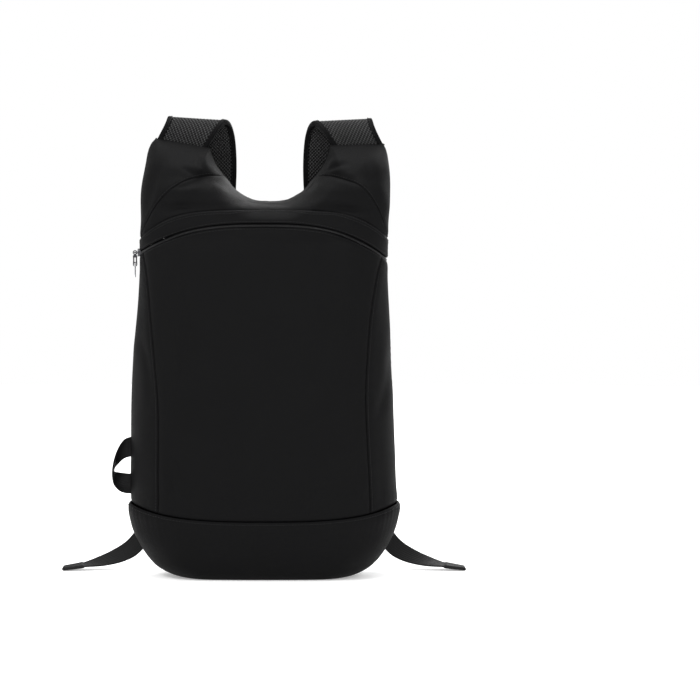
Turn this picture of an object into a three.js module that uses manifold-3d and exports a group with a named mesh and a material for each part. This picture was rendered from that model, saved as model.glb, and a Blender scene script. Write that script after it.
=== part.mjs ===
// A foldable sports backpack in black cloth, standing upright on its base.
// Millimetres, +Z up. The front faces -Y, +X is to the right as seen from the front,
// and the origin is on the floor under the middle of the base.
import * as THREE from "three";
import { mergeVertices } from "three/addons/utils/BufferGeometryUtils.js";
import Module from "manifold-3d";

// Driving dimensions of the bag
const bodyWidth = 270; // across the side panels at the base seam
const bodyHeight = 376; // floor to the lowest point of the neck scoop
const bodyDepth = 108; // fullest point of the front to the back panel
const baseHeight = 60; // floor to the base seam at the middle of the front
const baseSeamRise = 16; // how much higher the base seam is at the sides
const baseOverhang = 2.5; // how far the base panel stands out past the sides
const restShare = 0.56; // width of the flat rest face over the width of the bag
const gussetWidth = 29; // side panel seen from the front, at mid-height
const backCorner = 24; // roundness of the edge between side and back
const neckWidth = 120; // between the inner corners of the shoulders
const neckRound = 22; // how softly the cloth rolls over the neck edge
const topRound = 30; // the same at the top seams of the shoulders
const neckShift = 6; // the neck sits this far to the right of the middle

// Walls and joins
const clothWall = 1.6;
const baseWall = 2.2;
const seamGap = 0.7; // between two panels sewn edge to edge
const touchGap = 0.3; // between two pieces that rest on each other
const bindingGap = 0.95; // between the mesh of a strap and its binding

// Zip
const flapWidth = 13; // zip flap at the middle of the front
const flapWall = 1.8;
const flapLift = 0.6; // how far the flap stands proud of the panels
const coilWidth = 3.2;
const coilWall = 1.4;
const coilSink = 0.9;
const yokeHeight = 9.5; // top edge of the flap to the lowest point of the neck scoop
const archHeight = bodyHeight - yokeHeight;
const flapEndDrop = 27.5; // how far the flap's top edge falls from the middle to the side
const coilDropLeft = 27; // the same for its lower edge, on the left
const coilDropRight = 34;
const zipTailDrop = 16; // the zip falls by this from the outline to the back corner
const sliderLength = 10;
const sliderWidth = 8;
const sliderPlate = 1.6;
const sliderFoot = 1.4; // thickness of the arch that carries the bar
const barRadius = 0.9; // bar of the slider that carries the pull
const eyeWall = 1.0;
const eyeClearance = 0.45;
const pullNeck = 1; // from the eye down to where the pull has its full width
const pullWidth = 4.4;
const pullThickness = 3;
const pullLength = 14;
const wireRadius = 0.6;
const wireLoopLength = 11;

// Straps and webbing
const strapWidth = 69; // shoulder strap at its widest
const strapThickness = 5;
const bindingWidth = 4.5;
const bindingExtra = 1; // binding is thicker than the mesh it wraps
const webWidth = 20;
const webThickness = 1.5;
const hemLength = 22;
const loopWidth = 20;
const buckleBar = 3;
const buckleDepth = 4;
const buckleSlot = 9;
const tabLap = 14; // how far the tab is sewn up along the strap
const strapLead = 1.6; // from the seam gap over the shoulder to the strap's first section
const anchorShift = 8; // the webbing is sewn in this far outside the buckle
const anchorRise = 2; // and this far over the base seam
const anchorFlat = 6; // length over which it lies flat on the back
const anchorBend = 18; // height over its seam at which it has come away from the back

const halfWidth = bodyWidth / 2;

const cloth = { color: 0x1b1b1c, roughness: 0.85, metalness: 0 };
const meshCloth = { color: 0x242425, roughness: 0.95, metalness: 0 };
const tape = { color: 0x101011, roughness: 0.8, metalness: 0 };
const plastic = { color: 0x141415, roughness: 0.45, metalness: 0 };
const darkMetal = { color: 0x2a2a2c, roughness: 0.4, metalness: 1 };
const silver = { color: 0xb9babd, roughness: 0.3, metalness: 1 };

// Sections of the body, from the base seam to the tips of the shoulders. height is a share of
// bodyHeight, left, right and corner are shares of halfWidth, and front, middle and back are
// shares of bodyDepth, positive to the back.
const bodySections = [
  { height: 0.0, left: 0.985, right: 0.985, corner: 0.36, front: -0.49, middle: 0.0, back: 0.43 },
  { height: 0.2, left: 0.985, right: 0.988, corner: 0.36, front: -0.505, middle: 0.0, back: 0.435 },
  { height: 0.3, left: 0.99, right: 0.976, corner: 0.36, front: -0.52, middle: 0.0, back: 0.44 },
  { height: 0.484, left: 0.982, right: 0.955, corner: 0.36, front: -0.525, middle: 0.0, back: 0.44 },
  { height: 0.604, left: 0.962, right: 0.939, corner: 0.36, front: -0.5, middle: 0.0, back: 0.44 },
  { height: 0.723, left: 0.932, right: 0.925, corner: 0.35, front: -0.46, middle: 0.0, back: 0.44 },
  { height: 0.843, left: 0.917, right: 0.912, corner: 0.34, front: -0.4, middle: 0.01, back: 0.44 },
  { height: 0.923, left: 0.915, right: 0.919, corner: 0.32, front: -0.34, middle: 0.04, back: 0.44 },
  { height: 0.992, left: 0.912, right: 0.938, corner: 0.3, front: -0.27, middle: 0.09, back: 0.435 },
  { height: 1.056, left: 0.902, right: 0.941, corner: 0.27, front: -0.17, middle: 0.17, back: 0.42 },
  { height: 1.12, left: 0.874, right: 0.926, corner: 0.24, front: -0.04, middle: 0.26, back: 0.39 },
  { height: 1.152, left: 0.844, right: 0.894, corner: 0.21, front: 0.04, middle: 0.31, back: 0.37 },
  { height: 1.176, left: 0.79, right: 0.86, corner: 0.18, front: 0.1, middle: 0.33, back: 0.36 },
];

// Edge of the neck opening. reach is a share of half the neckWidth, and height one of bodyHeight.
const neckSections = [
  { reach: 0.0, height: 1.0 },
  { reach: 0.27, height: 1.004 },
  { reach: 0.5, height: 1.022 },
  { reach: 0.61, height: 1.037 },
  { reach: 0.725, height: 1.06 },
  { reach: 0.875, height: 1.094 },
  { reach: 0.967, height: 1.126 },
  { reach: 1.0, height: 1.15 },
  { reach: 1.01, height: 1.19 },
];

// Seam between side and front panel: how far it lies inside the outline, as shares of gussetWidth.
const gussetSections = [
  { height: 0.1, left: 0.94, right: 0.98 },
  { height: 0.3, left: 1.0, right: 0.98 },
  { height: 0.47, left: 0.965, right: 0.99 },
  { height: 0.577, left: 0.78, right: 0.88 },
  { height: 0.7, left: 0.48, right: 0.68 },
  { height: 0.8, left: 0.28, right: 0.4 },
  { height: 0.88, left: 0.08, right: 0.1 },
];

// Seam between yoke and shoulder, from the zip flap up to the neck edge. reach is a share of the
// way from the outline to the neck edge, and rise one from the flap's end to the top of the seam.
const yokeSections = [
  { reach: 0.0, rise: 0.0 },
  { reach: 0.05, rise: 0.17 },
  { reach: 0.11, rise: 0.34 },
  { reach: 0.2, rise: 0.54 },
  { reach: 0.34, rise: 0.75 },
  { reach: 0.5, rise: 0.89 },
  { reach: 0.66, rise: 0.96 },
  { reach: 0.8, rise: 1.0 },
  { reach: 1.0, rise: 1.0 },
];
const yokeSeamTop = 1.067; // share of bodyHeight
const yokeTipShare = 0.022; // reach at which the yoke's pointed ends stop

// Top seam of each shoulder, where the mesh strap starts, as shares of bodyHeight.
const shoulderSeam = {
  left: { outer: 1.169, inner: 1.142 },
  right: { outer: 1.154, inner: 1.149 },
};

// Dents and folds of the stuffed cloth. across and wide are shares of halfWidth, height and tall of
// bodyHeight, and deep is a share of bodyDepth, positive inwards.
const folds = [
  { across: -0.44, height: 1.06, wide: 0.1, tall: 0.02, deep: 0.075 }, // pucker, left seam end
  { across: 0.47, height: 1.072, wide: 0.1, tall: 0.02, deep: 0.075 }, // pucker, right seam end
  { across: -0.62, height: 1.03, wide: 0.22, tall: 0.022, deep: -0.03 }, // roll under left seam
  { across: 0.66, height: 1.03, wide: 0.22, tall: 0.022, deep: -0.03 }, // roll under right seam
  { across: -0.55, height: 0.983, wide: 0.3, tall: 0.012, deep: 0.025 }, // crease over the flap
  { across: 0.62, height: 0.975, wide: 0.24, tall: 0.012, deep: 0.03 },
  { across: 0.42, height: 0.9, wide: 0.2, tall: 0.02, deep: 0.03 }, // hollow under the flap
  { across: -0.5, height: 0.905, wide: 0.3, tall: 0.02, deep: 0.02 },
  { across: -0.3, height: 0.42, wide: 0.5, tall: 0.07, deep: 0.012 },
  { across: 0.35, height: 0.3, wide: 0.45, tall: 0.05, deep: 0.015 },
  { across: 0.1, height: 0.7, wide: 0.55, tall: 0.07, deep: -0.012 },
];
const frontCrownShare = 0.14; // how much flatter the front is at its sides than in its middle

// Centre line of a strap, from the shoulder's top seam over the fold and down behind the bag to
// the buckle. out is a share of halfWidth from the neck's middle, back of bodyDepth, up of
// bodyHeight and wide of strapWidth. tilt is how much higher the outer edge is, over strapWidth.
const strapSections = [
  { out: 0.645, back: 0.33, up: 1.1625, wide: 0.74, tilt: 0.08 },
  { out: 0.59, back: 0.352, up: 1.197, wide: 0.77, tilt: 0.07 },
  { out: 0.55, back: 0.43, up: 1.2185, wide: 0.85, tilt: 0.05 },
  { out: 0.53, back: 0.515, up: 1.211, wide: 0.93, tilt: 0.05 },
  { out: 0.516, back: 0.57, up: 1.18, wide: 0.98, tilt: 0.04 },
  { out: 0.508, back: 0.63, up: 1.104, wide: 1.0, tilt: 0.0 },
  { out: 0.52, back: 0.685, up: 1.0, wide: 1.0, tilt: 0.0 },
  { out: 0.555, back: 0.715, up: 0.85, wide: 0.985, tilt: 0.0 },
  { out: 0.605, back: 0.705, up: 0.69, wide: 0.93, tilt: 0.0 },
  { out: 0.655, back: 0.665, up: 0.54, wide: 0.81, tilt: 0.0 },
  { out: 0.695, back: 0.62, up: 0.475, wide: 0.69, tilt: 0.0 },
  { out: 0.7, back: 0.605, up: 0.437, wide: 0.58, tilt: 0.0 },
  { out: 0.7, back: 0.605, up: 0.4, wide: 0.48, tilt: 0.0 },
];

// Free tail of the adjusting webbing, from under the buckle round the corner of the bag to the
// floor. out is a share of halfWidth, back of bodyDepth and up of baseHeight. turnOut, turnBack and
// turnUp give the direction of the webbing's width.
const tailSections = [
  { out: 0.715, back: 0.66, up: 1.55, turnOut: 1, turnBack: 0, turnUp: 0.05 },
  { out: 0.765, back: 0.69, up: 1.1, turnOut: 0.9, turnBack: 0.12, turnUp: 0.4 },
  { out: 0.86, back: 0.64, up: 0.72, turnOut: 0.66, turnBack: 0.35, turnUp: 0.66 },
  { out: 0.945, back: 0.56, up: 0.49, turnOut: 0.6, turnBack: 0.42, turnUp: 0.68 },
  { out: 1.01, back: 0.52, up: 0.345, turnOut: 0.52, turnBack: 0.5, turnUp: 0.69 },
  { out: 1.11, back: 0.49, up: 0.225, turnOut: 0.5, turnBack: 0.66, turnUp: 0.56 },
  { out: 1.235, back: 0.47, up: 0.135, turnOut: 0.38, turnBack: 0.85, turnUp: 0.34 },
  { out: 1.35, back: 0.45, up: 0.085, turnOut: 0.15, turnBack: 0.97, turnUp: 0.1 },
  { out: 1.525, back: 0.42, up: 0.03, turnOut: 0, turnBack: 1, turnUp: 0 },
];

// The side loop's webbing turns half round on its way out and back. out is how far the section's
// middle stands off the side, a share of loopWidth, up a share of bodyHeight, and turn the angle in
// degrees of its width from upright.
const loopSections = [
  { out: 0.03, up: 0.3475, turn: 0 },
  { out: 0.3, up: 0.34, turn: 14 },
  { out: 0.62, up: 0.319, turn: 42 },
  { out: 0.8, up: 0.297, turn: 72 },
  { out: 0.86, up: 0.278, turn: 96 },
  { out: 0.8, up: 0.262, turn: 124 },
  { out: 0.55, up: 0.2525, turn: 152 },
  { out: 0.25, up: 0.2485, turn: 172 },
  { out: 0.03, up: 0.2475, turn: 180 },
];

// Value of a column of a table between its rows, on a smooth curve through them.
function tableValue(table, key, column, at) {
  const last = table.length - 1;
  if (at <= table[0][key]) return table[0][column];
  if (at >= table[last][key]) return table[last][column];
  const i = table.findIndex((row) => row[key] > at) - 1;
  const [p, q] = [table[i], table[i + 1]];
  const [o, r] = [table[Math.max(i - 1, 0)], table[Math.min(i + 2, last)]];
  const span = q[key] - p[key];
  const t = (at - p[key]) / span;
  const slopeIn = ((q[column] - o[column]) / (q[key] - o[key])) * span;
  const slopeOut = ((r[column] - p[column]) / (r[key] - p[key])) * span;
  const [t2, t3] = [t * t, t * t * t];
  return (
    (2 * t3 - 3 * t2 + 1) * p[column] +
    (t3 - 2 * t2 + t) * slopeIn +
    (3 * t2 - 2 * t3) * q[column] +
    (t3 - t2) * slopeOut
  );
}

const sideName = (side) => (side < 0 ? "left" : "right");
const mix = (a, b, t) => a + (b - a) * t;
const clamp01 = (t) => Math.min(1, Math.max(0, t));
const smooth = (t) => clamp01(t) ** 2 * (3 - 2 * clamp01(t));
const roundOver = (t) => Math.sqrt(1 - (1 - clamp01(t)) ** 2);

// The body's section at a height, in millimetres.
function sectionAt(z) {
  const share = z / bodyHeight;
  const column = (name) => tableValue(bodySections, "height", name, share);
  return {
    left: -column("left") * halfWidth,
    right: column("right") * halfWidth,
    corner: column("corner") * halfWidth,
    front: column("front") * bodyDepth,
    middle: column("middle") * bodyDepth,
    back: column("back") * bodyDepth,
  };
}

const outline = (side, z) => (side < 0 ? sectionAt(z).left : sectionAt(z).right);

// Neck edge: its height over a point across, and its distance from a point of the front view.
const neckHalf = neckWidth / 2;
const neckTop = neckSections[neckSections.length - 1].height * bodyHeight;

function neckHeight(x) {
  const reach = Math.abs(x - neckShift) / neckHalf;
  return tableValue(neckSections, "reach", "height", reach) * bodyHeight;
}

function neckEdge(side, z) {
  const reach = tableValue(neckSections, "height", "reach", z / bodyHeight);
  return neckShift + side * reach * neckHalf;
}

const neckSteps = 24;
const neckLine = Array.from({ length: neckSteps + 1 }, (_, i) => {
  const reach = (neckSections[neckSections.length - 1].reach * i) / neckSteps;
  const height = tableValue(neckSections, "reach", "height", reach);
  return new THREE.Vector2(reach * neckHalf, height * bodyHeight);
});

function neckDistance(x, z) {
  const point = new THREE.Vector2(Math.abs(x - neckShift), z);
  const inside = z < neckTop && (point.x > neckLine[neckSteps].x || z < neckHeight(x));
  let nearest = Infinity;
  for (let i = 0; i < neckSteps; i++) {
    const [a, b] = [neckLine[i], neckLine[i + 1]];
    const along = b.clone().sub(a);
    const t = clamp01(point.clone().sub(a).dot(along) / along.lengthSq());
    nearest = Math.min(nearest, point.distanceTo(a.clone().addScaledVector(along, t)));
  }
  return inside ? nearest : 0;
}

function foldDepth(x, z) {
  return folds.reduce((sum, fold) => {
    const u = (x / halfWidth - fold.across) / fold.wide;
    const v = (z / bodyHeight - fold.height) / fold.tall;
    return sum + fold.deep * bodyDepth * Math.exp(-(u * u + v * v));
  }, 0);
}

// Depth of the front and of the back surface over a point of the front view. The front closes on
// the back along the neck edge and the shoulders' top seams.
function frontSurface(x, z) {
  const section = sectionAt(z);
  const side = Math.min(x - section.left, section.right - x);
  const flatness = 1 - frontCrownShare * Math.min(1, (x / halfWidth) ** 2);
  const front = mix(section.middle, section.front, flatness) + foldDepth(x, z);
  const stuffed = mix(section.middle, front, roundOver(side / section.corner));
  const inside = (clothWall + seamGap) * roundOver(side / backInset(z));
  const open = Math.min(neckDistance(x, z) / neckRound, topDistance(x, z) / topRound);
  return mix(backSurface(x, z) - inside, stuffed, roundOver(open));
}

function backSurface(x, z) {
  const section = sectionAt(z);
  const side = Math.min(x - section.left, section.right - x);
  return mix(section.middle, section.back, roundOver(side / backInset(z)));
}

// How far a point lies under the line of a shoulder's top seam.
function topDistance(x, z) {
  const side = x < neckShift ? -1 : 1;
  const seam = shoulderSeam[sideName(side)];
  const outer = [outline(side, seam.outer * bodyHeight), seam.outer * bodyHeight];
  const inner = [neckEdge(side, seam.inner * bodyHeight), seam.inner * bodyHeight];
  const [along, rise] = [outer[0] - inner[0], outer[1] - inner[1]];
  const under = inner[1] + ((x - inner[0]) / along) * rise - z;
  return Math.max(0, (under * Math.abs(along)) / Math.hypot(along, rise));
}

// How far the seam between side and back panel lies inside the outline.
function backInset(z) {
  return (backCorner * sectionAt(z).corner) / sectionAt(0).corner;
}

// Seams, each as a point [x, z] of the front view
const baseSeamSide = baseHeight + baseSeamRise;
const baseSeam = (x) => baseHeight + baseSeamRise * Math.min(1, Math.abs(x / halfWidth)) ** 3;
const baseSeamBack = baseSeamSide;

const zipReach = 0.91; // share of halfWidth at which the zip has fallen by its whole drop
const [flapTopPower, flapFootPower] = [4.4, 2.8]; // how late each edge of the flap bends down
const flapTop = (x) => archHeight - flapEndDrop * Math.abs(x / (zipReach * halfWidth)) ** flapTopPower;
const flapFoot = (x) => {
  const drop = x < 0 ? coilDropLeft : coilDropRight;
  return archHeight - flapWidth - drop * Math.abs(x / (zipReach * halfWidth)) ** flapFootPower;
};

function gussetSeam(side, z) {
  const inset = tableValue(gussetSections, "height", side < 0 ? "left" : "right", z / bodyHeight);
  return outline(side, z) - side * inset * gussetWidth;
}

// Height at which a curve z(x) meets a line x(z), found by stepping towards it.
function meeting(curve, line, start) {
  let z = start;
  for (let i = 0; i < 30; i++) z = mix(z, curve(line(z)), 0.5);
  return z;
}

const coilFoot = (x) => flapFoot(x) - coilWidth;
const flapEnd = { "-1": 0, 1: 0 };
const coilEnd = { "-1": 0, 1: 0 };
const flapFootEnd = { "-1": 0, 1: 0 };
const gussetTop = { "-1": 0, 1: 0 };
for (const side of [-1, 1]) {
  flapEnd[side] = meeting(flapTop, (z) => outline(side, z), archHeight);
  flapFootEnd[side] = meeting(flapFoot, (z) => outline(side, z), archHeight);
  coilEnd[side] = meeting(coilFoot, (z) => outline(side, z), archHeight);
  gussetTop[side] = meeting(coilFoot, (z) => gussetSeam(side, z), archHeight);
}

// A patch of the front view between four edges, each a function from 0..1 to [x, z].
function coons(bottom, top, left, right) {
  const [b0, b1, t0, t1] = [bottom(0), bottom(1), top(0), top(1)];
  return (s, v) => {
    const [b, t, l, r] = [bottom(s), top(s), left(v), right(v)];
    return [0, 1].map(
      (k) =>
        mix(b[k], t[k], v) + mix(l[k], r[k], s) - mix(mix(b0[k], b1[k], s), mix(t0[k], t1[k], s), v),
    );
  };
}

const onFront = ([x, z]) => new THREE.Vector3(x, frontSurface(x, z), z);
const onBack = ([x, z]) => new THREE.Vector3(x, backSurface(x, z), z);
const between = (from, to) => (v) => mix(from, to, v);
const crowd = (s) => 1 - Math.cos((s * Math.PI) / 2);
const crowdStart = (s) => mix(crowd(s), s, s);

// Steps across the bag lie closer together towards its sides, where its surface turns.
const evenShare = 0.3; // 1 would space them evenly
const crowdEnds = (s) => mix((1 - Math.cos(s * Math.PI)) / 2, s, evenShare);
const zipEndShare = 0.15; // share of the zip's steps that lies behind the outline

// One closed solid from triangles of shared points.
function solidFrom(points, faces) {
  const geometry = new THREE.BufferGeometry();
  const flat = points.flatMap((p) => [p.x, p.y, p.z]);
  geometry.setAttribute("position", new THREE.Float32BufferAttribute(flat, 3));
  geometry.setIndex(faces.flat());
  const out = geometry.toNonIndexed();
  out.computeVertexNormals();
  return out;
}

const quad = (a, b, c, d) => [
  [a, b, c],
  [a, c, d],
];

// Outward normal of a surface patch at (s, v).
function patchNormal(surface, s, v) {
  const step = 0.004;
  const [s0, s1] = [Math.max(0, s - step), Math.min(1, s + step)];
  const [v0, v1] = [Math.max(0, v - step), Math.min(1, v + step)];
  const across = surface(s1, v).sub(surface(s0, v));
  const up = surface(s, v1).sub(surface(s, v0));
  return across.cross(up).normalize();
}

// Share of the way between two points that is half a seam gap long.
const seamTrim = (edge, inside) => Math.min(0.5, seamGap / 2 / edge.distanceTo(inside));

// A sewn panel: the patch's outer face, an inner face one wall inside it, and the rim between them.
// Each edge stands back from the patch's own edge by half a seam gap.
function panel(surface, columns, rows, wall = clothWall, lift = 0) {
  const points = [];
  const trimmed = (k, count, at) => {
    if (k > 0 && k < count) return k / count;
    const [edge, next] = k === 0 ? [0, 1 / count] : [1, 1 - 1 / count];
    return mix(edge, next, seamTrim(at(edge), at(next)));
  };
  const at = (i, j, layer) => 2 * (j * (columns + 1) + i) + layer;
  for (let j = 0; j <= rows; j++)
    for (let i = 0; i <= columns; i++) {
      const v = trimmed(j, rows, (at) => surface(i / columns, at));
      const s = trimmed(i, columns, (at) => surface(at, v));
      const [point, normal] = [surface(s, v), patchNormal(surface, s, v)];
      points.push(point.clone().addScaledVector(normal, lift));
      points.push(point.clone().addScaledVector(normal, lift - wall));
    }
  const faces = [];
  for (let j = 0; j < rows; j++)
    for (let i = 0; i < columns; i++) {
      faces.push(...quad(at(i, j, 0), at(i + 1, j, 0), at(i + 1, j + 1, 0), at(i, j + 1, 0)));
      faces.push(...quad(at(i, j, 1), at(i, j + 1, 1), at(i + 1, j + 1, 1), at(i + 1, j, 1)));
    }
  const rim = [];
  for (let i = 0; i < columns; i++) rim.push([i, 0, i + 1, 0], [columns - i, rows, columns - i - 1, rows]);
  for (let j = 0; j < rows; j++) rim.push([columns, j, columns, j + 1], [0, rows - j, 0, rows - j - 1]);
  for (const [i, j, k, l] of rim) faces.push(...quad(at(k, l, 0), at(i, j, 0), at(i, j, 1), at(k, l, 1)));
  return solidFrom(points, faces);
}

// Direction of a strip's thickness at one of its sections.
function normalAt(sections, i) {
  const ahead = sections[Math.min(i + 1, sections.length - 1)].centre;
  const behind = sections[Math.max(i - 1, 0)].centre;
  return sections[i].width.clone().cross(ahead.clone().sub(behind)).normalize();
}

// A strip of webbing or mesh from a list of sections, each with the middle of its section, the
// direction of its width, its width and its thickness.
function strip(sections) {
  const points = [];
  sections.forEach((section, i) => {
    const normal = section.normal || normalAt(sections, i);
    for (const [a, b] of [
      [-1, 1],
      [1, 1],
      [1, -1],
      [-1, -1],
    ])
      points.push(
        section.centre
          .clone()
          .addScaledVector(section.width, (a * section.wide) / 2)
          .addScaledVector(normal, (b * section.thick) / 2),
      );
  });
  const faces = [];
  const last = sections.length - 1;
  for (let i = 0; i < last; i++)
    for (let k = 0; k < 4; k++) {
      const [a, b] = [4 * i + k, 4 * i + ((k + 1) % 4)];
      faces.push(...quad(a, b, b + 4, a + 4));
    }
  faces.push(...quad(3, 2, 1, 0), ...quad(4 * last, 4 * last + 1, 4 * last + 2, 4 * last + 3));
  return solidFrom(points, faces);
}

const bag = new THREE.Group();

function add(name, geometry, finish, parent = bag) {
  const mesh = new THREE.Mesh(geometry, new THREE.MeshStandardMaterial(finish));
  mesh.name = name;
  parent.add(mesh);
  return mesh;
}

// Front panel, from the base seam up to the zip coil, between the two gusset seams.
function frontPanel() {
  const seam = (side) => (v) => {
    const x = gussetSeam(side, baseSeamSide);
    const z = mix(baseSeam(x), gussetTop[side], v);
    return [gussetSeam(side, z), z];
  };
  const [left, right] = [seam(-1), seam(1)];
  const edge = (curve, v) => (s) => {
    const x = mix(left(v)[0], right(v)[0], s);
    return [x, curve(x)];
  };
  const view = coons(edge(baseSeam, 0), edge(coilFoot, 1), left, right);
  return panel((s, v) => onFront(view(s, v)), 18, 18);
}

// Side panel, wrapped from the gusset seam on the front round the outline to the back panel.
function sidePanel(side) {
  const foot = baseSeam(gussetSeam(side, baseSeamSide));
  const outer = (v) => {
    const z = mix(baseSeam(outline(side, baseSeamSide)), coilEnd[side], v);
    return [outline(side, z), z];
  };
  const seam = (v) => {
    const z = mix(foot, gussetTop[side], v);
    return [gussetSeam(side, z), z];
  };
  const corner = (v) => {
    const z = mix(baseSeamBack, coilEnd[side] - zipTailDrop, v);
    return [outline(side, z) - side * backInset(z), z];
  };
  const edge = (from, to, curve) => (s) => {
    const x = mix(from[0], to[0], s);
    return [x, curve ? curve(x) : mix(from[1], to[1], s)];
  };
  const front = coons(edge(outer(0), seam(0), baseSeam), edge(outer(1), seam(1), coilFoot), outer, seam);
  const back = coons(edge(outer(0), corner(0)), edge(outer(1), corner(1)), outer, corner);
  return (s, v) => {
    const t = side < 0 ? 2 * s - 1 : 1 - 2 * s;
    return t >= 0 ? onFront(front(crowd(t), v)) : onBack(back(crowd(-t), v));
  };
}

// A band round the bag from the left back corner over the front to the right back corner, between
// two curves of the front view. ends gives where each curve meets the outline.
function aroundFront(lower, upper, lowerEnd, upperEnd) {
  return (s, v) => {
    const sweep = 2 * s - 1;
    const side = sweep < 0 ? -1 : 1;
    const t = (Math.abs(sweep) - (1 - zipEndShare)) / zipEndShare;
    if (t > 0) {
      const z = mix(lowerEnd[side], upperEnd[side], v) - zipTailDrop * crowd(t);
      return onBack([outline(side, z) - side * backInset(z) * crowd(t), z]);
    }
    const run = sweep / (1 - zipEndShare);
    const share = mix(Math.sin((run * Math.PI) / 2), run, evenShare);
    const end = mix(lowerEnd[side], upperEnd[side], v);
    const x = outline(side, end) * Math.abs(share);
    return onFront([x, mix(lower(x), upper(x), v)]);
  };
}

// Yoke, between the flap and the shoulder seams and neck scoop.
function yokeSeam(side, s) {
  const rise = tableValue(yokeSections, "reach", "rise", s);
  const z = mix(flapEnd[side], yokeSeamTop * bodyHeight, rise);
  return [mix(outline(side, z), neckEdge(side, yokeSeamTop * bodyHeight), s), z];
}

function yoke() {
  const seamShare = 1 / 3; // share of the yoke's top edge along each shoulder seam
  const top = (s) => {
    if (s < seamShare) return yokeSeam(-1, mix(yokeTipShare, 1, crowdStart(s / seamShare)));
    if (s > 1 - seamShare) return yokeSeam(1, mix(yokeTipShare, 1, crowdStart((1 - s) / seamShare)));
    const z = yokeSeamTop * bodyHeight;
    const x = mix(neckEdge(-1, z), neckEdge(1, z), (s - seamShare) / (1 - 2 * seamShare));
    return [x, neckHeight(x)];
  };
  const view = (s, v) => {
    const [x, z] = top(s);
    return [x, mix(flapTop(x), z, Math.sin((v * Math.PI) / 2))];
  };
  return panel((s, v) => onFront(view(s, v)), 36, 6);
}

// Shoulder: from the yoke seam up to the strap's seam, and round the outline to the back panel.
function shoulder(side) {
  const seamOf = shoulderSeam[sideName(side)];
  const [outerTop, innerTop] = [seamOf.outer * bodyHeight, seamOf.inner * bodyHeight];
  const outer = (v) => {
    const z = mix(flapEnd[side], outerTop, v);
    return [outline(side, z), z];
  };
  const inner = (v) => {
    const z = mix(yokeSeamTop * bodyHeight, innerTop, v);
    return [neckEdge(side, z), z];
  };
  const corner = (v) => {
    const z = mix(flapEnd[side] - zipTailDrop, outerTop, v);
    return [outline(side, z) - side * backInset(z), z];
  };
  const bottom = (s) => yokeSeam(side, s);
  const top = (s) => [mix(outer(1)[0], inner(1)[0], s), mix(outerTop, innerTop, s)];
  const front = coons(bottom, top, outer, inner);
  const edge = (from, to) => (s) => [mix(from[0], to[0], s), mix(from[1], to[1], s)];
  const back = coons(edge(outer(0), corner(0)), edge(outer(1), corner(1)), outer, corner);
  const backShare = 0.25; // share of the shoulder's steps that lies behind the outline
  const surface = (s, rise) => {
    const v = mix(rise, 1 - crowd(1 - rise), 1 - evenShare);
    const t = (side < 0 ? s : 1 - s) - backShare;
    if (t < 0) return onBack(back(crowd(-t / backShare), v));
    const run = t / (1 - backShare);
    return onFront(front(crowdStart(run), v));
  };
  return panel(surface, 16, 12);
}

// Back panel, up to the neck scoop and the shoulders' top seams.
function backPanel() {
  const top = (side) => shoulderSeam[sideName(side)];
  const corner = (side) => (v) => {
    const z = mix(baseSeamBack, top(side).outer * bodyHeight, v);
    return [outline(side, z) - side * backInset(z), z];
  };
  const [right, left] = [corner(1), corner(-1)];
  const bottom = (s) => [mix(right(0)[0], left(0)[0], s), baseSeamBack];
  const topEdge = (s) => {
    const x = mix(right(1)[0], left(1)[0], s);
    const side = x < neckShift ? -1 : 1;
    const innerX = neckEdge(side, top(side).inner * bodyHeight);
    if (Math.abs(x - neckShift) < Math.abs(innerX - neckShift)) return [x, neckHeight(x)];
    const t = (x - innerX) / (corner(side)(1)[0] - innerX);
    return [x, mix(top(side).inner, top(side).outer, t) * bodyHeight];
  };
  const view = coons(bottom, topEdge, right, left);
  return panel((s, v) => onBack(view(s, v)), 28, 10);
}

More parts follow.
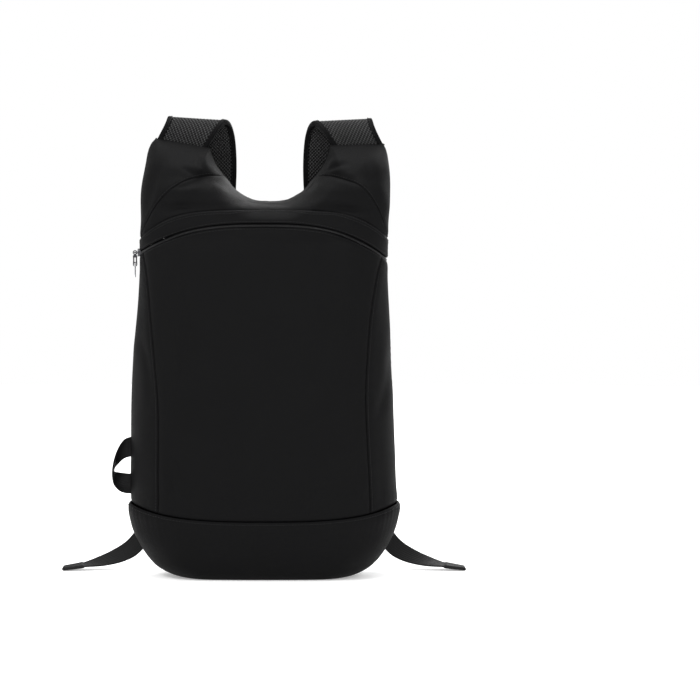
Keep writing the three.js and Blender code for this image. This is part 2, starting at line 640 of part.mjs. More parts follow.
// Base panel: rings of the body's section that shrink and fall along an arc to the flat rest face.
function basePanel() {
  const [aroundFrontSteps, aroundBackSteps, rings] = [24, 14, 6];
  const seam = [];
  const low = (side) => baseSeam(outline(side, baseSeamSide));
  for (let i = 0; i < aroundFrontSteps; i++) {
    const x = mix(outline(-1, low(-1)), outline(1, low(1)), crowdEnds(i / aroundFrontSteps));
    seam.push(onFront([x, baseSeam(x)]));
  }
  for (let i = 0; i < aroundBackSteps; i++) {
    const x = mix(outline(1, low(1)), outline(-1, low(-1)), crowdEnds(i / aroundBackSteps));
    seam.push(onBack([x, mix(baseSeam(x), baseSeamBack, Math.min(1, i, aroundBackSteps - i))]));
  }
  const count = seam.length;
  const stretch = 1 + baseOverhang / halfWidth;
  const surface = (k, v) => {
    const angle = (1 - v) * (Math.PI / 2);
    const size = stretch * mix(restShare, 1, Math.cos(angle));
    const i = Math.floor(k + count) % count;
    const p = seam[i].clone().lerp(seam[(i + 1) % count], k - Math.floor(k));
    return new THREE.Vector3(p.x * size, p.y * size, (p.z - seamGap / 2) * (1 - Math.sin(angle)));
  };
  const points = [];
  const at = (i, j, layer) => 2 * (j * count + (i % count)) + layer;
  for (let j = 0; j <= rings; j++)
    for (let i = 0; i < count; i++) {
      const v = j / rings;
      const [low, high] = [Math.max(0, v - 0.01), Math.min(1, v + 0.01)];
      const across = surface(i + 0.5, v).sub(surface(i - 0.5, v));
      const normal = across.cross(surface(i, high).sub(surface(i, low))).normalize();
      const outer = surface(i, v);
      points.push(outer, outer.clone().addScaledVector(normal, -baseWall));
    }
  const faces = [];
  for (let i = 0; i < count; i++) {
    for (let j = 0; j < rings; j++) {
      faces.push(...quad(at(i, j, 0), at(i + 1, j, 0), at(i + 1, j + 1, 0), at(i, j + 1, 0)));
      faces.push(...quad(at(i, j, 1), at(i, j + 1, 1), at(i + 1, j + 1, 1), at(i + 1, j, 1)));
    }
    faces.push(...quad(at(i, rings, 0), at(i + 1, rings, 0), at(i + 1, rings, 1), at(i, rings, 1)));
    faces.push([points.length, at(i + 1, 0, 0), at(i, 0, 0)]);
    faces.push([points.length + 1, at(i, 0, 1), at(i + 1, 0, 1)]);
  }
  points.push(new THREE.Vector3(0, 0, 0), new THREE.Vector3(0, 0, baseWall));
  return solidFrom(points, faces);
}

// Sections along a smooth curve through the rows of a table, in steps.
function alongRows(rows, toPoint, columns, steps) {
  const curve = new THREE.CatmullRomCurve3(rows.map(toPoint), false, "centripetal");
  return Array.from({ length: steps + 1 }, (_, i) => {
    const t = i / steps;
    const at = rows.map((row, k) => ({ ...row, at: k / (rows.length - 1) }));
    const section = { centre: curve.getPoint(t) };
    for (const column of columns) section[column] = tableValue(at, "at", column, t);
    return section;
  });
}

// Strap of spacer mesh with a binding along both edges.
function strapPath(side) {
  const rise = (row) => {
    const seam = shoulderSeam[sideName(side)];
    const middle = ((seam.outer + seam.inner) / 2) * bodyHeight;
    const start = strapSections[0].up;
    return middle + (row.up - start) * bodyHeight + 2 * touchGap + strapLead;
  };
  const toPoint = (row) =>
    new THREE.Vector3(neckShift + side * row.out * halfWidth, row.back * bodyDepth, rise(row));
  const [steps, seamSteps] = [32, 7]; // over the first few it turns from the seam's slant to its tilt
  const sections = alongRows(strapSections, toPoint, ["wide", "tilt"], steps);
  const seam = shoulderSeam[sideName(side)];
  const slant = ((seam.outer - seam.inner) * bodyHeight) / (strapSections[0].wide * strapWidth);
  const path = sections.map((section, i) => {
    const tilt = mix(slant, section.tilt, smooth(i / seamSteps));
    const width = new THREE.Vector3(side, 0, tilt).normalize();
    return { ...section, width, wide: section.wide * strapWidth, thick: strapThickness };
  });
  return path.map((section, i) => ({ ...section, normal: normalAt(path, i) }));
}

function bindingOf(path, side, edge) {
  return path.map((section) => ({
    ...section,
    centre: section.centre
      .clone()
      .addScaledVector(section.width, edge * (section.wide / 2 - bindingWidth / 2)),
    wide: bindingWidth,
    thick: section.thick + bindingExtra,
  }));
}

function meshOf(path) {
  return path.map((section) => ({
    ...section,
    wide: section.wide - 2 * (bindingWidth + bindingGap),
  }));
}

// Ladder buckle, flat in the plane of the strap's end: two slots between three bars.
const buckleWidth = webWidth + 2 * (buckleBar + 1);
const buckleHeight = 3 * buckleBar + 2 * buckleSlot;
const wrapRadius = strapThickness / 2 + touchGap + webThickness / 2; // webbing round a bar

function buckle() {
  const frame = new THREE.Shape();
  const [w, h] = [buckleWidth / 2, buckleHeight / 2];
  frame.moveTo(-w, -h).lineTo(w, -h).lineTo(w, h).lineTo(-w, h).closePath();
  for (const row of [-1, 1]) {
    const slot = new THREE.Path();
    const middle = (row * (buckleBar + buckleSlot)) / 2;
    const [a, b] = [w - buckleBar, buckleSlot / 2];
    slot.moveTo(-a, middle - b).lineTo(-a, middle + b).lineTo(a, middle + b).lineTo(a, middle - b);
    slot.closePath();
    frame.holes.push(slot);
  }
  const geometry = new THREE.ExtrudeGeometry(frame, { depth: buckleDepth, bevelEnabled: false });
  geometry.translate(0, 0, -buckleDepth / 2);
  geometry.rotateX(Math.PI / 2);
  return geometry;
}

// Half a turn of webbing round a bar, over it or under it.
function wrap(bar, over, steps = 6) {
  return Array.from({ length: steps + 1 }, (_, i) => {
    const angle = (i / steps) * Math.PI;
    const offset = new THREE.Vector3(0, -Math.cos(angle), over * Math.sin(angle));
    return bar.clone().addScaledVector(offset, wrapRadius);
  });
}

function harness(side) {
  const name = sideName(side);
  const path = strapPath(side);
  add("strap_" + name, strip(meshOf(path)), meshCloth);
  add("binding_" + name + "_inner", strip(bindingOf(path, side, -1)), tape);
  add("binding_" + name + "_outer", strip(bindingOf(path, side, 1)), tape);

  const end = path[path.length - 1].centre;
  const topBar = end.clone().setZ(end.z - wrapRadius - buckleBar);
  const middle = topBar.clone().setZ(topBar.z - buckleBar - buckleSlot);
  add("buckle_" + name, buckle(), plastic).position.copy(middle);

  const across = new THREE.Vector3(side, 0, 0);
  const webSection = (centre) => ({ centre, width: across, wide: webWidth, thick: webThickness });
  const lap = (sign) =>
    new THREE.Vector3(end.x, end.y + sign * wrapRadius, end.z + tabLap);
  const tabLine = [lap(-1), ...wrap(topBar, -1), lap(1)];
  add("tab_" + name, strip(tabLine.map(webSection)), tape);

  // The webbing is sewn into the base seam, runs up in front of the buckle, over its middle bar
  // and down behind it, and ends in the free tail with its folded hem.
  const anchorX = middle.x + side * anchorShift;
  const anchorZ = baseSeamBack + anchorRise;
  const anchorY = backSurface(anchorX - (side * webWidth) / 2, anchorZ) + touchGap + webThickness / 2;
  const bendShare = 0.6; // of the way from the back of the bag to the buckle
  const anchor = [
    new THREE.Vector3(anchorX, anchorY, anchorZ),
    new THREE.Vector3(anchorX, anchorY, anchorZ + anchorFlat),
    new THREE.Vector3(
      mix(anchorX, middle.x, bendShare),
      mix(anchorY, middle.y - wrapRadius, bendShare),
      anchorZ + anchorBend,
    ),
  ];
  const turn = wrap(middle, 1);
  const tailPoint = (row) =>
    new THREE.Vector3(side * row.out * halfWidth, row.back * bodyDepth, row.up * baseHeight + touchGap);
  const tail = alongRows(tailSections, tailPoint, ["turnOut", "turnBack", "turnUp"], 20);
  const below = new THREE.Vector3(middle.x, middle.y + wrapRadius, middle.z - buckleHeight / 2);
  const line = [...anchor, ...turn, below].map(webSection);
  for (const section of tail) {
    const width = new THREE.Vector3(side * section.turnOut, section.turnBack, section.turnUp).normalize();
    line.push({ centre: section.centre, width, wide: webWidth, thick: webThickness });
  }
  hemEnd(line);
  add("webbing_" + name, strip(line), tape);
}

// Doubles the last stretch of a webbing, where its end is folded over and sewn.
function hemEnd(line) {
  const end = line[line.length - 1].centre;
  const first = line.findIndex((section) => section.centre.distanceTo(end) < hemLength);
  const stepShare = 0.05; // of the way to the next section, over which the webbing gets thicker
  const edge = line[first].centre.clone().lerp(line[first - 1].centre, stepShare);
  const step = { ...line[first], centre: edge };
  line.splice(first, 0, step);
  for (let i = first + 1; i < line.length; i++) line[i] = { ...line[i], thick: 2 * webThickness };
}

function sideLoop() {
  const side = -1;
  const toPoint = (row) => {
    const z = row.up * bodyHeight;
    const y = sectionAt(z).middle;
    return new THREE.Vector3(outline(side, z) + side * (touchGap + row.out * loopWidth), y, z);
  };
  const sections = alongRows(loopSections, toPoint, ["turn"], 20);
  const line = sections.map((section) => {
    const turn = THREE.MathUtils.degToRad(section.turn);
    const width = new THREE.Vector3(0, Math.sin(turn), -Math.cos(turn));
    return { centre: section.centre, width, wide: loopWidth, thick: webThickness };
  });
  return strip(line);
}

// Solids of several closed shapes joined into one.
const wasm = await Module();
wasm.setup();

function fuse(...shapes) {
  const solids = shapes.map((shape) => {
    const bare = new THREE.BufferGeometry().setAttribute("position", shape.getAttribute("position"));
    const merged = mergeVertices(bare, 1e-3);
    const vertProperties = merged.getAttribute("position").array;
    const triVerts = new Uint32Array(merged.index.array);
    return new wasm.Manifold(new wasm.Mesh({ numProp: 3, vertProperties, triVerts }));
  });
  const mesh = solids.reduce((whole, solid) => whole.add(solid)).getMesh();
  const geometry = new THREE.BufferGeometry();
  geometry.setAttribute("position", new THREE.BufferAttribute(new Float32Array(mesh.vertProperties), 3));
  geometry.setIndex(new THREE.BufferAttribute(new Uint32Array(mesh.triVerts), 1));
  const out = geometry.toNonIndexed();
  out.computeVertexNormals();
  return out;
}

const extrude = (shape, depth) =>
  new THREE.ExtrudeGeometry(shape, { depth, bevelEnabled: false, curveSegments: 8 }).translate(
    0,
    0,
    -depth / 2,
  );

// Zip slider on the left side, at the outline: a plate with a bar that carries the pull. The bar
// runs to the back, and the pull hangs from it and swings out.
const sliderZ = (flapFootEnd[-1] + coilEnd[-1]) / 2;
const sliderFace = outline(-1, sliderZ) - flapLift - touchGap;
const sliderY = sectionAt(sliderZ).middle;
const eyeHole = barRadius + eyeClearance;
const barStandoff = eyeHole + eyeWall + touchGap; // from the plate to the middle of the bar
const barX = sliderFace - sliderPlate - barStandoff;

function slider() {
  const half = sliderLength / 2;
  const out = sliderPlate + barStandoff;
  const arch = new THREE.Shape();
  arch.moveTo(-half, 0).lineTo(half, 0).lineTo(half, sliderPlate);
  arch.lineTo(half - sliderFoot, out + barRadius).lineTo(sliderFoot - half, out + barRadius);
  arch.lineTo(-half, sliderPlate).closePath();
  const gap = new THREE.Path();
  const inner = half - 2 * sliderFoot;
  const floor = sliderPlate * 1.06;
  gap.moveTo(-inner, floor).lineTo(-inner, out - barRadius).lineTo(inner, out - barRadius);
  gap.lineTo(inner, floor).closePath();
  arch.holes.push(gap);
  const bridge = extrude(arch, 2 * barRadius).rotateZ(Math.PI / 2);
  const face = new THREE.Shape();
  const wide = sliderWidth / 2;
  const [nose, shoulderAt, tail] = [wide / 2, -sliderFoot, wide * 0.8];
  face.moveTo(-half, -nose).lineTo(shoulderAt, -wide).lineTo(half, -tail);
  face.lineTo(half, tail).lineTo(shoulderAt, wide).lineTo(-half, nose).closePath();
  const plate = extrude(face, sliderPlate).translate(0, 0, sliderPlate / 2);
  const basis = new THREE.Matrix4().makeBasis(
    new THREE.Vector3(0, 1, 0),
    new THREE.Vector3(0, 0, -1),
    new THREE.Vector3(-1, 0, 0),
  );
  return fuse(bridge, plate.applyMatrix4(basis)).translate(sliderFace, sliderY, sliderZ);
}

// Pull, seen edge-on from the side: an eye round the slider's bar, a flat tab below it and a small
// hole at the foot of the tab for the wire loop.
const pullFoot = -(pullLength - pullWidth / 2);

function pull() {
  const tab = new THREE.Shape();
  const eye = eyeHole + eyeWall;
  const neck = Math.asin(1 / 2);
  tab.absarc(0, 0, eye, -Math.PI / 2 + neck, (3 * Math.PI) / 2 - neck, false);
  tab.lineTo(-pullWidth / 2, -eye - pullNeck).lineTo(-pullWidth / 2, pullFoot);
  tab.absarc(0, pullFoot, pullWidth / 2, Math.PI, 2 * Math.PI, false);
  tab.lineTo(pullWidth / 2, -eye - pullNeck).closePath();
  for (const [z, radius] of [
    [0, eyeHole],
    [pullFoot, wireHole],
  ]) {
    const hole = new THREE.Path();
    hole.absarc(0, z, radius, 0, 2 * Math.PI, true);
    tab.holes.push(hole);
  }
  return extrude(tab, pullThickness).rotateX(Math.PI / 2);
}

// Wire loop through the foot of the pull, as a long ring of round wire.
const loopHalf = pullThickness / 2 + touchGap + wireRadius;
const loopSag = loopHalf - Math.sqrt(loopHalf ** 2 - (pullThickness / 2) ** 2);
const wireHole = wireRadius + touchGap + loopSag / 2;

function wireLoop() {
  const [half, straight] = [loopHalf, wireLoopLength - pullThickness];
  const [sides, around] = [6, 8];
  const middle = [];
  for (let k = 0; k < around; k++) {
    const angle = (k / around) * Math.PI;
    middle.push([half * Math.cos(angle), half * Math.sin(angle)]);
  }
  for (let k = 0; k < around; k++) {
    const angle = Math.PI + (k / around) * Math.PI;
    middle.push([half * Math.cos(angle), half * Math.sin(angle) - straight]);
  }
  const points = [];
  const faces = [];
  middle.forEach(([y, z], k) => {
    const [ny, nz] = middle[(k + 1) % middle.length];
    const [py, pz] = middle[(k + middle.length - 1) % middle.length];
    const along = new THREE.Vector3(0, ny - py, nz - pz).normalize();
    const out = along.clone().cross(new THREE.Vector3(1, 0, 0));
    for (let m = 0; m < sides; m++) {
      const angle = (m / sides) * 2 * Math.PI;
      const point = new THREE.Vector3(Math.sin(angle) * wireRadius, y, z);
      points.push(point.addScaledVector(out, Math.cos(angle) * wireRadius));
      const [a, b] = [k * sides + m, k * sides + ((m + 1) % sides)];
      const next = ((k + 1) % middle.length) * sides - k * sides;
      faces.push(...quad(a, a + next, b + next, b));
    }
  });
  return solidFrom(points, faces);
}

add("front_panel", frontPanel(), cloth);
for (const side of [-1, 1]) {
  add("side_panel_" + sideName(side), panel(sidePanel(side), 12, 14), cloth);
  add("shoulder_" + sideName(side), shoulder(side), cloth);
}
add("yoke", yoke(), cloth);
add("back_panel", backPanel(), cloth);
add("base_panel", basePanel(), cloth);
const flap = aroundFront(flapFoot, flapTop, flapFootEnd, flapEnd);
const coil = aroundFront(coilFoot, flapFoot, coilEnd, flapFootEnd);
add("zip_flap", panel(flap, 40, 2, flapWall, flapLift), cloth);
add("zip_coil", panel(coil, 40, 1, coilWall, -coilSink), tape);
for (const side of [-1, 1]) harness(side);
add("side_loop", sideLoop(), tape);
add("zip_slider", slider(), darkMetal);
add("zip_pull", pull(), darkMetal).position.set(barX, sliderY, sliderZ);
const loopDrop = pullFoot - loopHalf + loopSag / 2;
add("pull_loop", wireLoop(), silver).position.set(barX, sliderY, sliderZ + loopDrop);

export default bag;
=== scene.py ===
"""A foldable sports backpack in black cloth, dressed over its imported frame.

Blender works in metres; the classes keep their sizes in millimetres, as a bag maker would, and the
mesh makers turn them into metres. The front of the bag faces -Y, +Z is up, and the origin is on the
floor under the middle of the base.
"""

import logging
import math
from dataclasses import dataclass, field
from enum import Enum
from typing import Callable, Optional, Sequence

import bmesh
import bpy
import numpy as np
from mathutils import Matrix, Vector


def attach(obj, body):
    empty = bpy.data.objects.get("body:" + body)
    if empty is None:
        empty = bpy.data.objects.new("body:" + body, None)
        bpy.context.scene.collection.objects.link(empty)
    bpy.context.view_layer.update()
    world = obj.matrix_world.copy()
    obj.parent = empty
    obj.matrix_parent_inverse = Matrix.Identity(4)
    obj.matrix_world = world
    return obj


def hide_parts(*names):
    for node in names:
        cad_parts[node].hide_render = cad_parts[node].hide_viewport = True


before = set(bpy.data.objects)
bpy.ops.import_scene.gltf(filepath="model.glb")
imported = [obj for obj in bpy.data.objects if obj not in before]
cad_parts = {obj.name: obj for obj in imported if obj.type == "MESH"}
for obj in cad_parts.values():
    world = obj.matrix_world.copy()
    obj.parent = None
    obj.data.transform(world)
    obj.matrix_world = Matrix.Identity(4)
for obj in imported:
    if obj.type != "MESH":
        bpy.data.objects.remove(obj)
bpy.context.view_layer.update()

log = logging.getLogger("backpack")

MM = 0.001
Array = np.ndarray
Curve = Callable[[Array], Array]
Patch = Callable[[Array, Array], Array]


class Side(Enum):
    """The two sides of the bag, as seen from the front."""

    LEFT = -1
    RIGHT = 1

    @property
    def word(self) -> str:
        """The side's name as the frame's nodes spell it."""
        return self.name.lower()


class Edge(Enum):
    """The four edges of a sewn panel's patch."""

    LEFT = 0
    RIGHT = 1
    BOTTOM = 2
    TOP = 3


# Small helpers on numbers and lines


def mix(a: Array, b: Array, t: Array) -> Array:
    """Goes from a to b as t goes from 0 to 1."""
    return a + (b - a) * t


def smooth(t: Array) -> Array:
    """Eases t from 0 to 1 with flat ends."""
    t = np.clip(t, 0, 1)
    return t * t * (3 - 2 * t)


def round_over(t: Array) -> Array:
    """Rises from 0 to 1 along a quarter circle."""
    return np.sqrt(np.maximum(0.0, 1 - (1 - np.clip(t, 0, 1)) ** 2))


def crowd(t: Array) -> Array:
    """Spaces steps closer together at the start."""
    return 1 - np.cos(t * np.pi / 2)


def crowd_start(t: Array) -> Array:
    """Spaces steps closer together at the start, less so than crowd."""
    return mix(crowd(t), t, t)


def crowd_ends(t: Array, even: float = 0.3) -> Array:
    """Spaces steps closer together at both ends."""
    return mix((1 - np.cos(t * np.pi)) / 2, t, even)


def unit(vectors: Array) -> Array:
    """Scales vectors to a length of 1."""
    return vectors / np.maximum(np.linalg.norm(vectors, axis=-1, keepdims=True), 1e-9)


def run_length(points: Array, axis: int = 0) -> Array:
    """Length run along a line of points up to each of them.

    Args:
        points: Points, with the coordinates on the last axis.
        axis: The axis that the line runs along.

    Returns:
        The running length, with one value for each point.
    """
    steps = np.linalg.norm(np.diff(points, axis=axis), axis=-1)
    start = np.zeros_like(np.take(steps, [0], axis=axis))
    return np.concatenate([start, np.cumsum(steps, axis=axis)], axis=axis)


def sample(at: Array, run: Array, rows: Array) -> Array:
    """Reads points or directions at lengths along a run."""
    return np.stack([np.interp(at, run, rows[:, k]) for k in range(3)], -1)


def catmull_rom(points: Array, t: Array) -> Array:
    """Points on a centripetal curve through the given ones.

    Args:
        points: The points that the curve goes through.
        t: Places from 0 to 1, where each of the given points is one step further.

    Returns:
        One point of the curve for each place.
    """
    last = len(points) - 1
    ends = np.vstack([2 * points[0] - points[1], points, 2 * points[-1] - points[-2]])
    at = np.clip(t, 0, 1) * last
    i = np.minimum(at.astype(int), last - 1)
    w = (at - i)[:, None]
    a, b, c, d = (ends[i + k] for k in range(4))
    gap = [
        np.maximum(np.linalg.norm(q - p, axis=1), 1e-6)[:, None] ** 0.5 for p, q in ((a, b), (b, c), (c, d))
    ]
    out = ((b - a) / gap[0] - (c - a) / (gap[0] + gap[1]) + (c - b) / gap[1]) * gap[1]
    into = ((c - b) / gap[1] - (d - b) / (gap[1] + gap[2]) + (d - c) / gap[2]) * gap[1]
    return b + out * w + (3 * (c - b) - 2 * out - into) * w**2 + (2 * (b - c) + out + into) * w**3


def ripple(t: Array, seed: int, octaves: Sequence[float] = (0.55, 1.0, 1.7, 2.6)) -> Array:
    """A gentle random wave, the same each time for one seed.

    Args:
        t: Places along the wave, with its main pitch as the unit.
        seed: Which wave it is.
        octaves: The waves that it is made of, as shares of the main one's rate.

    Returns:
        Heights from about -1 to 1.
    """
    phases = np.random.default_rng(seed).uniform(0, 2 * np.pi, len(octaves))
    total = sum(np.sin(2 * np.pi * rate * t + phase) / (0.6 + rate) for rate, phase in zip(octaves, phases))
    return total / sum(1 / (0.6 + rate) for rate in octaves)


def drift(points: Array, pitch: float, seed: int, waves: int = 9) -> Array:
    """Soft random hills in space, the same each time for one seed.

    Args:
        points: Points in millimetres.
        pitch: Width of a hill in millimetres.
        seed: Which hills they are.
        waves: How many waves are added up.

    Returns:
        Heights from about -1 to 1.
    """
    rng = np.random.default_rng(seed)
    total = np.zeros(points.shape[:-1])
    for _ in range(waves):
        turn = unit(rng.normal(size=3)) / (pitch * rng.uniform(0.7, 1.9))
        bend = 0.8 * np.sin(points @ (unit(rng.normal(size=3)) * 2.2 / pitch))
        total += np.sin(2 * np.pi * (points @ turn) + bend + rng.uniform(0, 2 * np.pi))
    return total / math.sqrt(waves)


@dataclass(frozen=True)
class Table:
    """Rows with named columns, read on a smooth curve between its rows."""

    columns: tuple[str, ...]
    rows: tuple[tuple[float, ...], ...]

    def read(self, key: str, column: str, where: Array) -> Array:
        """Reads one column at places between the rows.

        Args:
            key: The column that says where each row is.
            column: The column to read.
            where: The places.

        Returns:
            One value for each place.
        """
        grid = np.array(self.rows, float)
        k, c = grid[:, self.columns.index(key)], grid[:, self.columns.index(column)]
        last = len(k) - 1
        where = np.asarray(where, float)
        i = np.clip(np.searchsorted(k, where, side="right") - 1, 0, last - 1)
        before, after = np.maximum(i - 1, 0), np.minimum(i + 2, last)
        span = k[i + 1] - k[i]
        t = np.clip((where - k[i]) / span, 0, 1)
        leave = (c[i + 1] - c[before]) / (k[i + 1] - k[before]) * span
        arrive = (c[after] - c[i]) / (k[after] - k[i]) * span
        t2, t3 = t * t, t * t * t
        return (
            (2 * t3 - 3 * t2 + 1) * c[i] + (t3 - 2 * t2 + t) * leave
            + (3 * t2 - 2 * t3) * c[i + 1] + (t3 - t2) * arrive
        )


# The stuffed form of the bag


@dataclass(frozen=True)
class Fold:
    """A dent or roll of the stuffed cloth, all as shares of the bag's sizes; deep is inwards."""

    across: float
    height: float
    wide: float
    tall: float
    deep: float


@dataclass(frozen=True)
class Crease:
    """A soft crease between two points of the front view, in millimetres; deep is inwards."""

    start: tuple[float, float]
    end: tuple[float, float]
    wide: float
    deep: float


@dataclass(frozen=True)
class BagForm:
    """The bag's stuffed outer form, as depths over the front view, with the seams on it."""

    width: float = 270.0
    height: float = 376.0
    depth: float = 108.0
    base_height: float = 60.0
    base_rise: float = 16.0
    base_overhang: float = 2.5
    rest_share: float = 0.56
    gusset: float = 29.0
    back_corner: float = 24.0
    neck_width: float = 120.0
    neck_round: float = 22.0
    top_round: float = 30.0
    neck_shift: float = 6.0
    neck_inset: float = 2.3
    crown: float = 0.14
    flap_width: float = 13.0
    coil_width: float = 3.2
    yoke_height: float = 9.5
    flap_drop: float = 27.5
    coil_drops: tuple[float, float] = (27.0, 34.0)
    zip_reach: float = 0.91
    flap_powers: tuple[float, float] = (4.4, 2.8)
    zip_tail: float = 16.0
    yoke_top: float = 1.067
    yoke_tip: float = 0.022
    top_seams: tuple[tuple[float, float], tuple[float, float]] = ((1.169, 1.142), (1.154, 1.149))
    sections: Table = Table(
        ("height", "left", "right", "corner", "front", "middle", "back"),
        (
            (0.0, 0.985, 0.985, 0.36, -0.49, 0.0, 0.43), (0.2, 0.985, 0.988, 0.36, -0.505, 0.0, 0.435),
            (0.3, 0.99, 0.976, 0.36, -0.52, 0.0, 0.44), (0.484, 0.982, 0.955, 0.36, -0.525, 0.0, 0.44),
            (0.604, 0.962, 0.939, 0.36, -0.5, 0.0, 0.44), (0.723, 0.932, 0.925, 0.35, -0.46, 0.0, 0.44),
            (0.843, 0.917, 0.912, 0.34, -0.4, 0.01, 0.44), (0.923, 0.915, 0.919, 0.32, -0.34, 0.04, 0.44),
            (0.992, 0.912, 0.938, 0.3, -0.27, 0.09, 0.435), (1.056, 0.902, 0.941, 0.27, -0.17, 0.17, 0.42),
            (1.12, 0.874, 0.926, 0.24, -0.04, 0.26, 0.39), (1.152, 0.844, 0.894, 0.21, 0.04, 0.31, 0.37),
            (1.176, 0.79, 0.86, 0.18, 0.1, 0.33, 0.36),
        ),
    )
    neck: Table = Table(
        ("reach", "height"),
        (
            (0.0, 1.0), (0.27, 1.004), (0.5, 1.022), (0.61, 1.037), (0.725, 1.06), (0.875, 1.094),
            (0.967, 1.126), (1.0, 1.15), (1.01, 1.19),
        ),
    )
    gussets: Table = Table(
        ("height", "left", "right"),
        (
            (0.1, 0.94, 0.98), (0.3, 1.0, 0.98), (0.47, 0.965, 0.99), (0.577, 0.78, 0.88),
            (0.7, 0.48, 0.68), (0.8, 0.28, 0.4), (0.88, 0.08, 0.1),
        ),
    )
    yoke: Table = Table(
        ("reach", "rise"),
        (
            (0.0, 0.0), (0.05, 0.17), (0.11, 0.34), (0.2, 0.54), (0.34, 0.75), (0.5, 0.89), (0.66, 0.96),
            (0.8, 1.0), (1.0, 1.0),
        ),
    )
    folds: tuple[Fold, ...] = (
        Fold(-0.44, 1.06, 0.1, 0.02, 0.075),
        Fold(0.47, 1.072, 0.1, 0.02, 0.075),
        Fold(-0.62, 1.03, 0.22, 0.022, -0.03),
        Fold(0.66, 1.03, 0.22, 0.022, -0.03),
        Fold(-0.55, 0.983, 0.3, 0.012, 0.025),
        Fold(0.62, 0.975, 0.24, 0.012, 0.03),
        Fold(0.42, 0.9, 0.2, 0.02, 0.03),
        Fold(-0.5, 0.905, 0.3, 0.02, 0.02),
        Fold(-0.3, 0.42, 0.5, 0.07, 0.012),
        Fold(0.35, 0.3, 0.45, 0.05, 0.015),
        Fold(0.1, 0.7, 0.55, 0.07, -0.012),
    )

    @property
    def half(self) -> float:
        """Half the width of the bag."""
        return self.width / 2

    @property
    def arch(self) -> float:
        """Height of the flap's top edge at the middle."""
        return self.height - self.yoke_height

    @property
    def seam_side(self) -> float:
        """Height of the base seam at the sides and the back."""
        return self.base_height + self.base_rise

    def section(self, column: str, z: Array) -> Array:
        """One measure of the bag's section at some heights, in millimetres."""
        share = self.sections.read("height", column, z / self.height)
        return share * (self.depth if column in ("front", "middle", "back") else self.half)

    def outline(self, side: Side, z: Array) -> Array:
        """Where the side of the bag is, seen from the front."""
        return side.value * self.section(side.word, z)

    def back_inset(self, z: Array) -> Array:
        """How far the seam between side and back lies inside the outline."""
        return self.back_corner * self.section("corner", z) / self.section("corner", np.float64(0))

    def neck_height(self, x: Array) -> Array:
        """Height of the neck's edge over places across the bag."""
        reach = np.abs(x - self.neck_shift) / (self.neck_width / 2)
        return self.neck.read("reach", "height", reach) * self.height

    def neck_edge(self, side: Side, z: Array) -> Array:
        """Where the neck's edge is at some heights."""
        reach = self.neck.read("height", "reach", z / self.height)
        return self.neck_shift + side.value * reach * self.neck_width / 2

    def neck_distance(self, x: Array, z: Array) -> Array:
        """Distance from points of the front view to the neck's edge, and 0 over it.

        Args:
            x: Places across the bag.
            z: Heights over the floor.

        Returns:
            One distance for each point.
        """
        reach = np.linspace(0, self.neck.rows[-1][0], 49)
        line = np.stack(
            [reach * self.neck_width / 2, self.neck.read("reach", "height", reach) * self.height], -1
        )
        point = np.stack([np.abs(x - self.neck_shift), z], -1)
        near = np.full(x.shape, np.inf)
        for a, b in zip(line[:-1], line[1:]):
            t = np.clip(((point - a) @ (b - a)) / ((b - a) @ (b - a)), 0, 1)[..., None]
            near = np.minimum(near, np.linalg.norm(point - a - t * (b - a), axis=-1))
        under = (z < line[-1, 1]) & ((point[..., 0] > line[-1, 0]) | (z < self.neck_height(x)))
        return np.where(under, near, 0.0)

    def top_seam(self, side: Side) -> Array:
        """Outer and inner end of a shoulder's top seam, as points of the front view."""
        outer, inner = (share * self.height for share in self.top_seams[(side.value + 1) // 2])
        return np.array([[self.outline(side, outer), outer], [self.neck_edge(side, inner), inner]])

    def top_distance(self, x: Array, z: Array) -> Array:
        """How far points of the front view lie under the shoulders' top seams.

        Args:
            x: Places across the bag.
            z: Heights over the floor.

        Returns:
            One distance for each point.
        """
        total = np.zeros(x.shape)
        for side in Side:
            outer, inner = self.top_seam(side)
            along, rise = outer - inner
            under = inner[1] + (x - inner[0]) / along * rise - z
            far = np.maximum(0, under * abs(along) / math.hypot(along, rise))
            total = np.where((x < self.neck_shift) == (side is Side.LEFT), far, total)
        return total

    def fold_depth(self, x: Array, z: Array) -> Array:
        """How far the large folds push the front inwards.

        Args:
            x: Places across the bag.
            z: Heights over the floor.

        Returns:
            One depth for each point, in millimetres.
        """
        total = np.zeros(np.broadcast(x, z).shape)
        for fold in self.folds:
            u = (x / self.half - fold.across) / fold.wide
            v = (z / self.height - fold.height) / fold.tall
            total = total + fold.deep * self.depth * np.exp(-(u * u + v * v))
        return total

    def on_front(self, view: Array) -> Array:
        """Lays points of the front view on the front of the bag."""
        x, z = view[..., 0], view[..., 1]
        middle = self.section("middle", z)
        side = np.minimum(x - self.outline(Side.LEFT, z), self.outline(Side.RIGHT, z) - x)
        flat = 1 - self.crown * np.minimum(1, (x / self.half) ** 2)
        front = mix(middle, self.section("front", z), flat) + self.fold_depth(x, z)
        stuffed = mix(middle, front, round_over(side / self.section("corner", z)))
        inside = self.neck_inset * round_over(side / self.back_inset(z))
        room = np.minimum(
            self.neck_distance(x, z) / self.neck_round, self.top_distance(x, z) / self.top_round
        )
        y = mix(self.on_back(view)[..., 1] - inside, stuffed, round_over(room))
        return np.stack([x, y, z], -1)

    def on_back(self, view: Array) -> Array:
        """Lays points of the front view on the back of the bag."""
        x, z = view[..., 0], view[..., 1]
        middle, back = self.section("middle", z), self.section("back", z)
        side = np.minimum(x - self.outline(Side.LEFT, z), self.outline(Side.RIGHT, z) - x)
        return np.stack([x, mix(middle, back, round_over(side / self.back_inset(z))), z], -1)

    def base_seam(self, x: Array) -> Array:
        """Height of the base seam on the front, over places across."""
        return self.base_height + self.base_rise * np.minimum(1, np.abs(x / self.half)) ** 3

